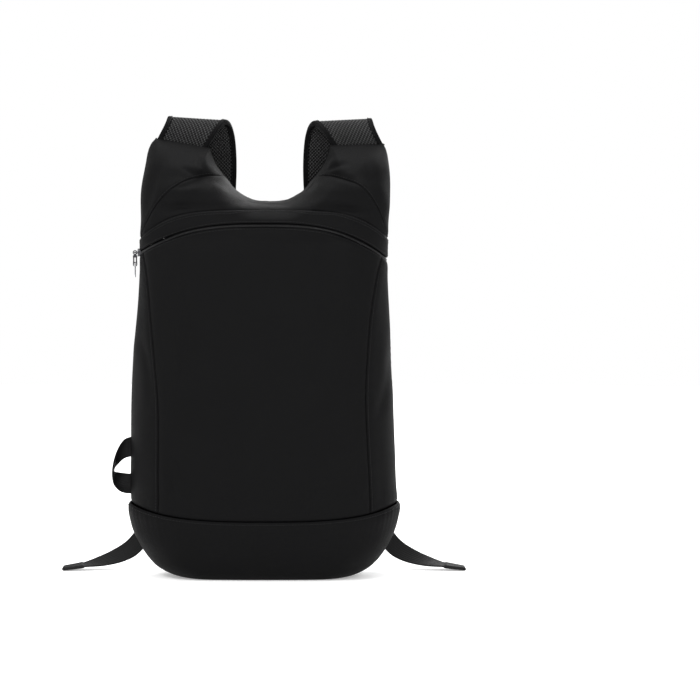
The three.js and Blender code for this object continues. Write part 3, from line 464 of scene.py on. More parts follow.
    def flap_top(self, x: Array) -> Array:
        """Height of the flap's top edge, over places across."""
        return self.arch - self.flap_drop * np.abs(x / (self.zip_reach * self.half)) ** self.flap_powers[0]

    def flap_foot(self, x: Array) -> Array:
        """Height of the flap's lower edge, over places across."""
        drop = np.where(x < 0, *self.coil_drops)
        return (
            self.arch - self.flap_width
            - drop * np.abs(x / (self.zip_reach * self.half)) ** self.flap_powers[1]
        )

    def coil_foot(self, x: Array) -> Array:
        """Height of the zip coil's lower edge, over places across."""
        return self.flap_foot(x) - self.coil_width

    def gusset_seam(self, side: Side, z: Array) -> Array:
        """Where the seam between front and side panel is."""
        inset = self.gussets.read("height", side.word, z / self.height)
        return self.outline(side, z) - side.value * inset * self.gusset

    def rising(self, place: Curve, low: float, high: float) -> Curve:
        """An edge of the front view that rises steadily."""
        return lambda v: pair(place(mix(low, high, v)), mix(low, high, v))

    def corner_place(self, side: Side) -> Curve:
        """Where the seam between side and back is, over heights."""
        return lambda z: self.outline(side, z) - side.value * self.back_inset(z)

    def meeting(self, curve: Curve, line: Curve) -> float:
        """Height at which a curve z(x) meets a line x(z).

        Args:
            curve: Gives a height over a place across.
            line: Gives a place across at a height.

        Returns:
            The height where they meet.
        """
        z = np.float64(self.arch)
        for _ in range(30):
            z = mix(z, curve(line(z)), 0.5)
        return float(z)


def coons(bottom: Curve, top: Curve, left: Curve, right: Curve) -> Patch:
    """A patch of the front view between four edges.

    Args:
        bottom: Its lower edge, from 0 to 1.
        top: Its upper edge.
        left: Its edge at the start.
        right: Its edge at the end.

    Returns:
        A function from places (s, v) on the patch to points of the front view.
    """
    zero, one = np.float64(0), np.float64(1)
    b0, b1, t0, t1 = bottom(zero), bottom(one), top(zero), top(one)

    def view(s: Array, v: Array) -> Array:
        """A point of the patch."""
        across, up = s[..., None], v[..., None]
        flat = mix(mix(b0, b1, across), mix(t0, t1, across), up)
        return mix(bottom(s), top(s), up) + mix(left(v), right(v), across) - flat

    return view


def pair(x: Array, z: Array) -> Array:
    """Points of the front view from places across and heights."""
    x, z = np.broadcast_arrays(np.asarray(x, float), np.asarray(z, float))
    return np.stack([x, z], -1)


# Meshes


def linked(name: str, data: bpy.types.ID) -> bpy.types.Object:
    """Makes an object that holds the data, linked to the scene."""
    made = bpy.data.objects.new(name, data)
    bpy.context.collection.objects.link(made)
    return made


def new_object(
    name: str, points: Array, faces: Sequence[Sequence[int]], uv: Optional[Array] = None
) -> bpy.types.Object:
    """Makes a smooth mesh object.

    Args:
        name: The object's name.
        points: Vertices in millimetres.
        faces: Faces, as rows of vertex numbers.
        uv: Thread coordinates in millimetres, one pair for each vertex.

    Returns:
        The object, linked to the scene.
    """
    mesh = bpy.data.meshes.new(name)
    mesh.from_pydata((np.asarray(points) * MM).tolist(), [], [list(map(int, face)) for face in faces])
    if uv is not None:
        layer = mesh.uv_layers.new(name="threads")
        loops = np.zeros(len(mesh.loops), np.int32)
        mesh.loops.foreach_get("vertex_index", loops)
        layer.data.foreach_set("uv", (np.asarray(uv, float)[loops] * MM).ravel())
    mesh.shade_smooth()
    mesh.update()
    return linked(name, mesh)


def quads(
    rows: int, columns: int, base: int = 0, turned: bool = False, ring: bool = False
) -> list[tuple[int, ...]]:
    """Faces of a grid of vertices.

    Args:
        rows: Rows of vertices.
        columns: Vertices in a row.
        base: Number of the first vertex.
        turned: Whether the faces look the other way.
        ring: Whether the last vertex of a row joins its first.

    Returns:
        The faces.
    """
    j, i = np.meshgrid(np.arange(rows - 1), np.arange(columns if ring else columns - 1), indexing="ij")
    j, i = j.ravel(), i.ravel()
    k = (i + 1) % columns
    low, high = base + j * columns, base + (j + 1) * columns
    faces = np.stack([low + i, low + k, high + k, high + i], -1)
    return (faces[:, ::-1] if turned else faces).tolist()


def rim(rows: int, columns: int, layer: int) -> list[tuple[int, ...]]:
    """Faces that close the edge between two layers of a grid.

    Args:
        rows: Rows of vertices.
        columns: Vertices in a row.
        layer: Number of vertices in one layer.

    Returns:
        The faces.
    """
    low, high = np.arange(columns), np.arange(columns) + (rows - 1) * columns
    first, last = np.arange(rows) * columns, np.arange(rows) * columns + columns - 1
    loop = np.concatenate([low[:-1], last[:-1], high[::-1][:-1], first[::-1][:-1]])
    ahead = np.roll(loop, -1)
    return np.stack([ahead, loop, loop + layer, ahead + layer], -1).tolist()


@dataclass(frozen=True)
class Line:
    """A line on the bag's surface, with the surface's outward normals."""

    points: Array
    normals: Array

    def cut(self, start: float, end: float) -> "Line":
        """The stretch of the line between two lengths from its start, or from its end if negative."""
        run = run_length(self.points)
        total = run[-1]
        low, high = start if start >= 0 else total + start, end if end > 0 else total + end
        at = np.linspace(low, high, max(2, int((high - low) / 1.0)))
        return Line(sample(at, run, self.points), unit(sample(at, run, self.normals)))


def inset_line(points: Array, normals: Array, inset: float) -> Line:
    """A line that runs beside the first row of a grid of surface points.

    Args:
        points: The grid, with its rows leading away from the edge.
        normals: The surface's normals at them.
        inset: Distance of the line from the edge, in millimetres.

    Returns:
        The line, without the columns that are too short to hold it.
    """
    run = run_length(points, 0)
    keep = [k for k in range(points.shape[1]) if run[-1, k] >= 2 * inset]
    spots, ways = (
        np.array([sample(inset, run[:, k], part[:, k]) for k in keep]) for part in (points, normals)
    )
    return Line(spots, unit(ways))


@dataclass(frozen=True)
class SeamRelief:
    """How stuffed cloth sinks into its seams, swells beside them and puckers along them."""

    sink: float = 0.95
    reach: float = 1.5
    swell: float = 0.5
    swell_at: float = 6.0
    pucker: float = 0.32
    pucker_reach: float = 9.0
    pucker_pitch: float = 8.5
    sides: tuple[float, float, float, float] = (1.0, 1.0, 1.0, 1.0)
    pucker_start: float = 1.3

    def fade(self, away: Array) -> Array:
        """How strong the puckers are at a distance from the seam."""
        return np.exp(-away / self.pucker_reach) * (1 - np.exp(-((away / self.pucker_start) ** 2)))

    def height(self, away: Array, along: Array, seed: int) -> Array:
        """Relief beside the four edges of a panel.

        Args:
            away: Distance to each edge, with the edges on the first axis.
            along: Length along each edge, in the same form.
            seed: Which puckers they are.

        Returns:
            The relief, outwards, in millimetres.
        """
        total = np.zeros(away.shape[1:])
        dip = np.zeros_like(total)
        for k, share in enumerate(self.sides):
            d = away[k]
            dip = np.maximum(dip, share * self.sink * np.exp(-((d / self.reach) ** 2)))
            total += share * self.swell * np.exp(-(((d - self.swell_at) / self.swell_at) ** 2)) * 0.6
            total += share * self.pucker * self.fade(d) * ripple(along[k] / self.pucker_pitch, seed * 7 + k)
        return total - dip


@dataclass
class SewnPanel:
    """One panel of cloth: a patch of the form, its relief, and a wall inside it."""

    name: str
    patch: Patch
    columns: int
    rows: int
    form: BagForm
    relief: SeamRelief = SeamRelief()
    creases: tuple[Crease, ...] = ()
    wall: float = 1.3
    lift: float = 0.0
    gap: float = 0.12
    loose: float = 0.45
    seed: int = 1
    outer: Array = field(init=False)
    normals: Array = field(init=False)
    uv: Array = field(init=False)

    def __post_init__(self) -> None:
        """Works out the panel's outer face."""
        base = self._grid()
        normals = unit(np.cross(np.gradient(base, axis=1), np.gradient(base, axis=0)))
        across, up = run_length(base, 1), run_length(base, 0)
        away = np.stack([across, across[:, -1:] - across, up, up[-1:] - up])
        along = np.stack([up, up, across, across])
        height = self.lift + self.relief.height(away, along, self.seed)
        calm = 1 - np.exp(-((away.min(0) / 14) ** 2))
        height += self.loose * calm * drift(base * (1.0, 1.0, 0.55), 42.0, self.seed)
        front = base[..., 1] < self.form.section("middle", base[..., 2])
        height -= np.where(front, self._crease_depth(base[..., 0], base[..., 2]), 0.0)
        self.outer = base + normals * height[..., None]
        turned = np.cross(np.gradient(self.outer, axis=1), np.gradient(self.outer, axis=0))
        self.normals = unit(unit(turned) + 0.5 * normals)
        self.uv = np.stack([across - across[:, -1:] / 2, up], -1)

    def _grid(self) -> Array:
        """Points of the patch, drawn back a little from its edges."""
        grid = np.stack(np.meshgrid(np.linspace(0, 1, self.columns + 1), np.linspace(0, 1, self.rows + 1)))
        for axis, count in enumerate((self.rows, self.columns)):
            lines = np.moveaxis(grid, axis + 1, 0)
            for end, sign in ((0, 1), (-1, -1)):
                step, edge, inside = sign / count, lines[end], lines[end].copy()
                inside[1 - axis] += step
                width = np.linalg.norm(self.patch(*inside) - self.patch(*edge), axis=-1)
                edge[1 - axis] += step * np.minimum(0.5, self.gap / np.maximum(width, 1e-6))
        return self.patch(*grid)

    def _crease_depth(self, x: Array, z: Array) -> Array:
        """Depth of the creases over points of the front view.

        Args:
            x: Places across the bag.
            z: Heights over the floor.

        Returns:
            One depth for each point, in millimetres.
        """
        total = np.zeros(x.shape)
        point = np.stack([x, z], -1)
        for crease in self.creases:
            start, end = np.array(crease.start), np.array(crease.end)
            length = np.linalg.norm(end - start)
            way = (end - start) / length
            t = (point - start) @ way / length
            bow = 0.06 * length * np.sin(np.pi * np.clip(t, 0, 1))
            off = (point - start) @ np.array([-way[1], way[0]]) - bow
            fade = smooth(t / 0.35) * smooth((1 - t) / 0.35)
            valley = np.exp(-((off / crease.wide) ** 2))
            banks = np.exp(-(((np.abs(off) - 2.1 * crease.wide) / (1.2 * crease.wide)) ** 2))
            total += crease.deep * fade * (valley - 0.45 * banks)
        return total

    def line(self, edge: Edge, inset: float) -> Line:
        """A line on the outer face that runs along an edge.

        Args:
            edge: The edge.
            inset: Its distance from the edge, in millimetres.

        Returns:
            The line, from the start of the edge to its end.
        """
        points, normals = self.outer, self.normals
        if edge in (Edge.LEFT, Edge.RIGHT):
            points, normals = points.transpose(1, 0, 2), normals.transpose(1, 0, 2)
        if edge in (Edge.RIGHT, Edge.TOP):
            points, normals = points[::-1], normals[::-1]
        return inset_line(points, normals, inset)

    def build(self) -> bpy.types.Object:
        """Makes the panel as a closed sheet.

        Returns:
            The panel's object.
        """
        inner = self.outer - self.normals * self.wall
        rows, columns = self.outer.shape[:2]
        count = rows * columns
        points = np.concatenate([self.outer.reshape(-1, 3), inner.reshape(-1, 3)])
        uv = np.concatenate([self.uv.reshape(-1, 2)] * 2)
        faces = quads(rows, columns) + quads(rows, columns, count, turned=True) + rim(rows, columns, count)
        return new_object(f"{self.name}_cloth", points, faces, uv)


# Finishes


def shader_group(name: str, inputs: Sequence[tuple], outputs: Sequence[tuple]) -> bpy.types.NodeTree:
    """Starts a shader node group with named sockets.

    Args:
        name: The group's name.
        inputs: A name, socket type and value for each input.
        outputs: A name and socket type for each output.

    Returns:
        The group, with its input and output nodes in it.
    """
    group = bpy.data.node_groups.new(name, "ShaderNodeTree")
    for label, kind, value in inputs:
        made = group.interface.new_socket(name=label, in_out="INPUT", socket_type=kind)
        if value is not None:
            made.default_value = value
    for label, kind in outputs:
        group.interface.new_socket(name=label, in_out="OUTPUT", socket_type=kind)
    group.nodes.new("NodeGroupInput")
    group.nodes.new("NodeGroupOutput")
    return group


class NodeBench:
    """Adds nodes to a node tree and wires them up."""

    def __init__(self, tree: bpy.types.NodeTree) -> None:
        """Takes the node tree to work on."""
        self.tree = tree

    def node(self, kind: str, values: Optional[dict] = None, **settings: object) -> bpy.types.Node:
        """Adds a node.

        Args:
            kind: The node's type.
            values: For its inputs, by name or number: a value, or a socket to link from.
            **settings: The node's own settings.

        Returns:
            The node.
        """
        made = self.tree.nodes.new(kind)
        for label, value in settings.items():
            setattr(made, label, value)
        for label, value in (values or {}).items():
            if isinstance(value, bpy.types.NodeSocket):
                self.tree.links.new(value, made.inputs[label])
            else:
                made.inputs[label].default_value = value
        return made

    def math(self, operation: str, *values: object) -> bpy.types.NodeSocket:
        """Adds a math node on values or sockets and gives its result."""
        return self.node("ShaderNodeMath", dict(enumerate(values)), operation=operation).outputs[0]

    def blend(self, amount: object, first: object, second: object) -> bpy.types.NodeSocket:
        """Mixes two colours."""
        made = self.node("ShaderNodeMix", {0: amount, 6: first, 7: second}, data_type="RGBA")
        return made.outputs[2]


class WeaveGroup:
    """Threads that cross over and under each other, as a height and a painted shade that darkens the gaps
    between them.
    """

    name = "Crossing threads"

    @classmethod
    def tree(cls) -> bpy.types.NodeTree:
        """The group, made the first time that it is asked for."""
        if cls.name in bpy.data.node_groups:
            return bpy.data.node_groups[cls.name]
        group = shader_group(
            cls.name,
            (
                ("Place", "NodeSocketVector", None),
                ("Warp Pitch", "NodeSocketFloat", 0.5),
                ("Weft Pitch", "NodeSocketFloat", 0.5),
            ),
            (("Height", "NodeSocketFloat"), ("Shade", "NodeSocketFloat")),
        )
        bench = NodeBench(group)
        source, target = group.nodes["Group Input"], group.nodes["Group Output"]
        split = bench.node("ShaderNodeSeparateXYZ", {0: source.outputs["Place"]})
        waves = []
        for axis, pitch in ((0, "Warp Pitch"), (1, "Weft Pitch")):
            size = bench.math("MULTIPLY", source.outputs[pitch], MM)
            turn = bench.math("MULTIPLY", bench.math("DIVIDE", split.outputs[axis], size), math.pi)
            waves.append(bench.math("SINE", turn))
        crossed = bench.math("MULTIPLY", waves[0], waves[1])
        thread = bench.math("MULTIPLY", bench.math("ABSOLUTE", waves[0]), bench.math("ABSOLUTE", waves[1]))
        height = bench.math("ADD", bench.math("MULTIPLY", crossed, 0.5), bench.math("POWER", thread, 0.5))
        group.links.new(height, target.inputs["Height"])
        # The shade output is painted shade: darkest in the gaps between threads, lightest on their crowns.
        group.links.new(bench.math("POWER", thread, 0.35), target.inputs["Shade"])
        return group


class WearGroup:
    """Rubbed edges, faint dust and uneven dye over a base colour."""

    name = "Rubbed and dusty"

    @classmethod
    def tree(cls) -> bpy.types.NodeTree:
        """The group, made the first time that it is asked for."""
        if cls.name in bpy.data.node_groups:
            return bpy.data.node_groups[cls.name]
        group = shader_group(
            cls.name,
            (
                ("Base", "NodeSocketColor", (0.02, 0.02, 0.02, 1)),
                ("Rubbed", "NodeSocketColor", (0.08, 0.08, 0.08, 1)),
                ("Edge Wear", "NodeSocketFloat", 0.4),
                ("Dust", "NodeSocketFloat", 0.1),
                ("Dye Spread", "NodeSocketFloat", 0.15),
                ("Roughness", "NodeSocketFloat", 0.7),
            ),
            (("Color", "NodeSocketColor"), ("Roughness", "NodeSocketFloat")),
        )
        bench = NodeBench(group)
        source, target = group.nodes["Group Input"], group.nodes["Group Output"]
        place = bench.node("ShaderNodeTexCoord").outputs["Object"]
        broad = bench.node("ShaderNodeTexNoise", {"Vector": place, "Scale": 28.0, "Detail": 4.0}).outputs[0]
        fine = bench.node("ShaderNodeTexNoise", {"Vector": place, "Scale": 900.0, "Detail": 2.0}).outputs[0]
        point = bench.node("ShaderNodeNewGeometry").outputs["Pointiness"]
        edge = bench.node("ShaderNodeMapRange", {0: point, 1: 0.52, 2: 0.6, 3: 0.0, 4: 1.0}).outputs[0]
        worn = bench.math("MULTIPLY", bench.math("MULTIPLY", edge, fine), source.outputs["Edge Wear"])
        dust = bench.math("MULTIPLY", bench.math("POWER", broad, 2.0), source.outputs["Dust"])
        spread = bench.math("MULTIPLY", bench.math("SUBTRACT", broad, 0.5), source.outputs["Dye Spread"])
        shade = bench.node(
            "ShaderNodeHueSaturation",
            {"Value": bench.math("ADD", spread, 1.0), "Color": source.outputs["Base"]},
        )
        amount = bench.math("MINIMUM", bench.math("ADD", worn, dust), 1.0)
        group.links.new(
            bench.blend(amount, shade.outputs[0], source.outputs["Rubbed"]), target.inputs["Color"]
        )
        rough = bench.math("ADD", source.outputs["Roughness"], bench.math("MULTIPLY", spread, 0.6))
        group.links.new(rough, target.inputs["Roughness"])
        return group


@dataclass(frozen=True)
class Finish:
    """A finish of one of the bag's stuffs, as a material is made from it."""

    name: str
    base: tuple[float, float, float]
    rubbed: tuple[float, float, float]
    roughness: float
    slot: str
    metallic: float = 0.0
    edge_wear: float = 0.4
    dust: float = 0.06
    dye_spread: float = 0.3
    sheen: float = 0.0
    specular: float = 0.5
    warp_pitch: float = 0.0
    weft_pitch: float = 0.0
    relief: float = 0.0
    grain: float = 0.0
    grain_scale: float = 900.0
    # Whether the colour gets painted shade in the hollows of a spacer mesh.
    pits: bool = False

    def material(self) -> bpy.types.Material:
        """The finish's material, made the first time that it is asked for."""
        if self.name in bpy.data.materials:
            return bpy.data.materials[self.name]
        made = bpy.data.materials.new(self.name)
        made.use_nodes = True
        bench = NodeBench(made.node_tree)
        shader = made.node_tree.nodes["Principled BSDF"]
        wear = bench.node("ShaderNodeGroup", node_tree=WearGroup.tree())
        for label, value in (
            ("Base", (*self.base, 1)),
            ("Rubbed", (*self.rubbed, 1)),
            ("Edge Wear", self.edge_wear),
            ("Dust", self.dust),
            ("Dye Spread", self.dye_spread),
            ("Roughness", self.roughness),
        ):
            wear.inputs[label].default_value = value
        color = wear.outputs["Color"]
        height = None
        if self.relief:
            place = bench.node("ShaderNodeUVMap", uv_map="threads").outputs[0]
            weave = bench.node("ShaderNodeGroup", {"Place": place}, node_tree=WeaveGroup.tree())
            weave.inputs["Warp Pitch"].default_value = self.warp_pitch
            weave.inputs["Weft Pitch"].default_value = self.weft_pitch
            height = weave.outputs["Height"]
            # Painted shade: the colour darkens towards a quarter of the base in the gaps between threads.
            painted_gap_shade = bench.math("MULTIPLY", bench.math("SUBTRACT", 1.0, weave.outputs["Shade"]), 0.45)
            color = bench.blend(painted_gap_shade, color, (*(part * 0.25 for part in self.base), 1))
        if self.grain:
            spot = bench.node("ShaderNodeTexCoord").outputs["Object"]
            height = bench.node(
                "ShaderNodeTexNoise", {"Vector": spot, "Scale": self.grain_scale, "Detail": 3.0}
            ).outputs[0]
        # Painted shade: the mesh's hollows are darkened almost to black by a mask from the pad, standing in
        # for the shade deep in its holes.
        if self.pits:
            depth = bench.node("ShaderNodeAttribute", attribute_name="pit").outputs["Fac"]
            color = bench.blend(depth, color, (*(part * 0.03 for part in self.base), 1))
        if height is not None:
            strength = 0.5 if self.relief else 0.25
            distance = (self.relief or self.grain) * MM
            bump = bench.node(
                "ShaderNodeBump", {"Strength": strength, "Distance": distance, "Height": height}
            )
            made.node_tree.links.new(bump.outputs[0], shader.inputs["Normal"])
        made.node_tree.links.new(color, shader.inputs["Base Color"])
        made.node_tree.links.new(wear.outputs["Roughness"], shader.inputs["Roughness"])
        shader.inputs["Metallic"].default_value = self.metallic
        shader.inputs["Specular IOR Level"].default_value = self.specular
        shader.inputs["Sheen Weight"].default_value = self.sheen
        shader.inputs["Sheen Roughness"].default_value = 0.5
        return made


CLOTH = Finish(
    "Black polyester cloth", (0.0038, 0.0038, 0.004), (0.009, 0.009, 0.0095), 0.6, "cloth",
    sheen=0.0, specular=0.04, warp_pitch=0.42, weft_pitch=0.36, relief=0.12,
)
MESH = Finish(
    "Black spacer mesh", (0.085, 0.085, 0.086), (0.15, 0.15, 0.15), 0.55, "mesh",
    specular=0.15, edge_wear=0.9, pits=True, grain=0.08, grain_scale=2500.0,
)
TAPE = Finish(
    "Black woven tape", (0.002, 0.002, 0.0022), (0.006, 0.006, 0.006), 0.6, "tape",
    specular=0.05, warp_pitch=0.8, weft_pitch=0.55, relief=0.16,
)
WEBBING = Finish(
    "Black ribbed webbing", (0.006, 0.006, 0.0063), (0.022, 0.022, 0.022), 0.55, "tape",
    specular=0.1, warp_pitch=1.2, weft_pitch=0.8, relief=0.3, edge_wear=0.8,
)
THREAD = Finish(
    "Black sewing thread",
    (0.005, 0.005, 0.0053), (0.02, 0.02, 0.02),
    0.5,
    "tape",
    specular=0.15,
    grain=0.05,
    grain_scale=3000.0,
)
PLASTIC = Finish(
    "Black moulded plastic",
    (0.005, 0.005, 0.0053), (0.02, 0.02, 0.02),
    0.4,
    "plastic",
    specular=0.3,
    grain=0.06,
    grain_scale=1400.0,
)
DARK_METAL = Finish(
    "Dark plated metal", (0.05, 0.05, 0.054), (0.3, 0.3, 0.31), 0.34, "dark_metal", metallic=1.0,
    edge_wear=0.8, grain=0.03,
)
SILVER = Finish(
    "Bright steel wire",
    (0.55, 0.56, 0.58), (0.8, 0.8, 0.8),
    0.22,
    "silver",
    metallic=1.0,
    dust=0.02,
    grain=0.02,
)


class Body(Enum):
    """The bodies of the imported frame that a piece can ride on."""

    BAG = "bag"
    PULL = "pull"


def finish_piece(
    piece: bpy.types.Object, finish: Finish, body: Body = Body.BAG, nodes: Sequence[str] = ()
) -> bpy.types.Object:
    """Dresses a piece, ties it to its body and lets it stand for its solids.

    Args:
        piece: The object.
        finish: Its finish.
        body: The body that it rides on.
        nodes: The solids of the frame that it stands for.

    Returns:
        The same object.
    """
    piece.data.materials.clear()
    piece.data.materials.append(finish.material())
    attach(piece, body.value)
    if nodes:
        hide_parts(*nodes)
    triangles = sum(len(face.vertices) - 2 for face in piece.data.polygons)
    log.info("%s: %d triangles, %s", piece.name, triangles, finish.name)
    return piece


def cloth_area(piece: bpy.types.Object) -> float:
    """Area of one face of a thin closed sheet, in square metres."""
    return sum(face.area for face in piece.data.polygons) / 2


# Stitches


@dataclass
class Stitching:
    """Rows of lockstitches, gathered into one mesh."""

    name: str
    pitch: float = 3.1
    length: float = 2.35
    radius: float = 0.3
    sides: int = 6
    turned: bool = False
    rise: float = 0.0
    points: list[Array] = field(default_factory=list)

    def sew(self, line: Line, start: float = 1.5, end: float = -1.5) -> None:
        """Adds a row of stitches.

        Args:
            line: The line that the row follows.
            start: Where the row starts, from the start of the line.
            end: Where it ends, from the line's end if negative.
        """
        row = line.cut(start, end)
        run = run_length(row.points)
        middles = np.arange(self.pitch / 2, run[-1] - self.pitch / 2, self.pitch)
        if not len(middles):
            return
        stations = np.array([-0.5, -0.32, 0.0, 0.32, 0.5]) * self.length
        girths = np.array([0.35, 0.95, 1.0, 0.95, 0.35]) * self.radius
        rises = np.array([-0.9, 0.15, 0.4, 0.15, -0.9]) * self.radius
        angles = np.arange(self.sides) / self.sides * 2 * np.pi
        spot, ahead = (sample(middles + step, run, row.points) for step in (0, 0.5))
        normal = unit(sample(middles, run, row.normals))
        way = unit(ahead - spot)
        across = unit(np.cross(way, normal))
        if self.turned:
            way, across = across, -way
        centre = spot[:, None] + way[:, None] * stations[None, :, None]
        centre = centre + normal[:, None] * (rises + self.rise)[None, :, None]
        ring = (
            across[:, None] * np.cos(angles)[None, :, None]
            + normal[:, None] * np.sin(angles)[None, :, None]
        )
        self.points.append(
            (centre[:, :, None] + ring[:, None] * girths[None, :, None, None]).reshape(len(middles), -1, 3)
        )

    def build(self, finish: Finish = THREAD) -> Optional[bpy.types.Object]:
        """Makes one object of all the rows.

        Args:
            finish: The thread's finish.

        Returns:
            The object, or None if nothing was sewn.
        """
        if not self.points:
            return None
        points = np.concatenate(self.points)
        size = points.shape[1]
        rings = size // self.sides
        single = quads(rings, self.sides, ring=True)
        single += [list(range(self.sides))[::-1], list(range(size - self.sides, size))]
        faces = [[k + size * n for k in face] for n in range(len(points)) for face in single]
        return finish_piece(new_object(self.name, points.reshape(-1, 3), faces), finish)


# Body of the bag


@dataclass
class BagBody:
    """The cloth body: front, sides, back, base, yoke and shoulders, with their stitching."""

    form: BagForm = BagForm()
    panels: dict[str, SewnPanel] = field(default_factory=dict)
    creases: tuple[Crease, ...] = (
        Crease((-57, 399), (-92, 388), 2.6, 1.3),
        Crease((-57, 401), (-84, 410), 2.4, 1.1),
        Crease((-57, 402), (-66, 424), 2.2, 0.9),
        Crease((-54, 398), (-30, 383), 3.0, 0.8),
        Crease((59, 402), (95, 392), 2.6, 1.3),
        Crease((59, 404), (88, 414), 2.4, 1.1),
        Crease((60, 405), (70, 425), 2.2, 0.9),
        Crease((56, 400), (34, 384), 3.0, 0.8),
        Crease((-118, 352), (-96, 426), 4.5, 1.1),
        Crease((121, 356), (102, 428), 4.5, 1.1),
        Crease((-108, 360), (-64, 372), 3.4, 1.0),
        Crease((-40, 372), (30, 370), 2.2, 0.5),
        Crease((46, 369), (104, 362), 3.2, 1.1),
        Crease((-112, 330), (-70, 345), 3.6, 0.8),
        Crease((-36, 346), (44, 343), 3.4, 0.7),
        Crease((60, 345), (112, 322), 4.0, 1.1),
        Crease((-98, 300), (-62, 205), 7.0, 0.8),
        Crease((-20, 250), (60, 232), 8.0, 0.6),
        Crease((-90, 175), (-10, 172), 5.0, 0.7),
        Crease((20, 150), (94, 178), 6.0, 0.7),
        Crease((92, 300), (70, 190), 7.0, 0.8),
        Crease((-96, 120), (-88, 80), 4.0, 0.9),
        Crease((96, 122), (84, 78), 4.0, 0.9),
        Crease((-60, 96), (-20, 66), 5.0, 0.7),
        Crease((24, 64), (66, 98), 5.0, 0.7),
        Crease((-126, 250), (-112, 160), 4.0, 0.8),
        Crease((126, 250), (108, 150), 4.0, 0.8),
    )

    def _curves(self) -> None:
        """Works out where the zip and the gusset seams meet the outline."""
        form = self.form
        self.flap_end, self.foot_end, self.coil_end, self.gusset_top = {}, {}, {}, {}
        for side in Side:
            edge: Curve = lambda z, side=side: form.outline(side, z)
            seam: Curve = lambda z, side=side: form.gusset_seam(side, z)
            self.flap_end[side] = form.meeting(form.flap_top, edge)
            self.foot_end[side] = form.meeting(form.flap_foot, edge)
            self.coil_end[side] = form.meeting(form.coil_foot, edge)
            self.gusset_top[side] = form.meeting(form.coil_foot, seam)

    def front_patch(self) -> Patch:
        """Front panel, from the base seam to the zip coil, between the gusset seams."""
        form = self.form

        def seam(side: Side) -> Curve:
            """The gusset seam on one side."""
            start = form.base_seam(form.gusset_seam(side, np.float64(form.seam_side)))
            return form.rising(lambda z: form.gusset_seam(side, z), start, self.gusset_top[side])

        left, right = seam(Side.LEFT), seam(Side.RIGHT)

        def edge(curve: Curve, v: float) -> Curve:
            """The lower or upper edge."""
            ends = left(np.float64(v))[0], right(np.float64(v))[0]
            return lambda s: pair(mix(*ends, s), curve(mix(*ends, s)))

        view = coons(edge(form.base_seam, 0), edge(form.coil_foot, 1), left, right)
        return lambda s, v: form.on_front(view(s, v))

    def side_patch(self, side: Side) -> Patch:
        """Side panel, from the gusset seam round the outline to the back panel.

        Args:
            side: The side.

        Returns:
            The panel's patch.
        """
        form, sign = self.form, side.value
        top = self.coil_end[side]
        foot = form.base_seam(form.gusset_seam(side, np.float64(form.seam_side)))
        low = form.base_seam(form.outline(side, np.float64(form.seam_side)))

        outer = form.rising(lambda z: form.outline(side, z), low, top)
        seam = form.rising(lambda z: form.gusset_seam(side, z), foot, self.gusset_top[side])
        corner = form.rising(form.corner_place(side), form.seam_side, top - form.zip_tail)

        def edge(start: Array, end: Array, curve: Optional[Curve] = None) -> Curve:
            """A lower or upper edge, straight or along a curve."""

            def line(s: Array) -> Array:
                """A point of the edge."""
                x = mix(start[0], end[0], s)
                return pair(x, curve(x) if curve else mix(start[1], end[1], s))

            return line

        a, b = np.float64(0), np.float64(1)
        front = coons(
            edge(outer(a), seam(a), form.base_seam), edge(outer(b), seam(b), form.coil_foot), outer, seam
        )
        back = coons(edge(outer(a), corner(a)), edge(outer(b), corner(b)), outer, corner)

        def surface(s: Array, v: Array) -> Array:
            """A point of the panel."""
            t = sign * (1 - 2 * s)
            on_front = form.on_front(front(crowd(np.maximum(t, 0)), v))
            on_back = form.on_back(back(crowd(np.maximum(-t, 0)), v))
            return np.where((t >= 0)[..., None], on_front, on_back)

        return surface

    def zip_patch(self, lower: Curve, upper: Curve, lower_end: dict, upper_end: dict) -> Patch:
        """A band round the bag from one back corner over the front to the other.

        Args:
            lower: Its lower edge on the front.
            upper: Its upper edge on the front.
            lower_end: Where the lower edge meets the outline, by side.
            upper_end: The same for the upper edge.

        Returns:
            The band's patch.
        """
        form, behind = self.form, 0.15

        def surface(s: Array, v: Array) -> Array:
            """A point of the band."""
            sweep = 2 * s - 1
            points = np.zeros((*np.broadcast(s, v).shape, 3))
            for side in Side:
                end = mix(lower_end[side], upper_end[side], v)
                t = np.clip((np.abs(sweep) - (1 - behind)) / behind, 0, 1)
                z = end - form.zip_tail * crowd(t)
                back = form.on_back(
                    pair(form.outline(side, z) - side.value * form.back_inset(z) * crowd(t), z)
                )
                run = np.clip(sweep / (1 - behind), -1, 1)
                share = mix(np.sin(run * np.pi / 2), run, 0.3)
                x = form.outline(side, end) * np.abs(share)
                front = form.on_front(pair(x, mix(lower(x), upper(x), v)))
                band = np.where((t > 0)[..., None], back, front)
                points = np.where(((sweep < 0) == (side is Side.LEFT))[..., None], band, points)
            return points

        return surface

    def yoke_seam(self, side: Side, s: Array) -> Array:
        """Seam between yoke and shoulder.

        Args:
            side: The side.
            s: Places from the outline, 0, to the neck, 1.

        Returns:
            Points of the front view.
        """
        form = self.form
        top = form.yoke_top * form.height
        z = mix(self.flap_end[side], top, form.yoke.read("reach", "rise", s))
        return pair(mix(form.outline(side, z), form.neck_edge(side, np.float64(top)), s), z)

    def yoke_patch(self) -> Patch:
        """Yoke, between the flap and the shoulder seams and neck scoop."""
        form, third = self.form, 1 / 3
        top = form.yoke_top * form.height
        ends = [form.neck_edge(side, np.float64(top)) for side in Side]

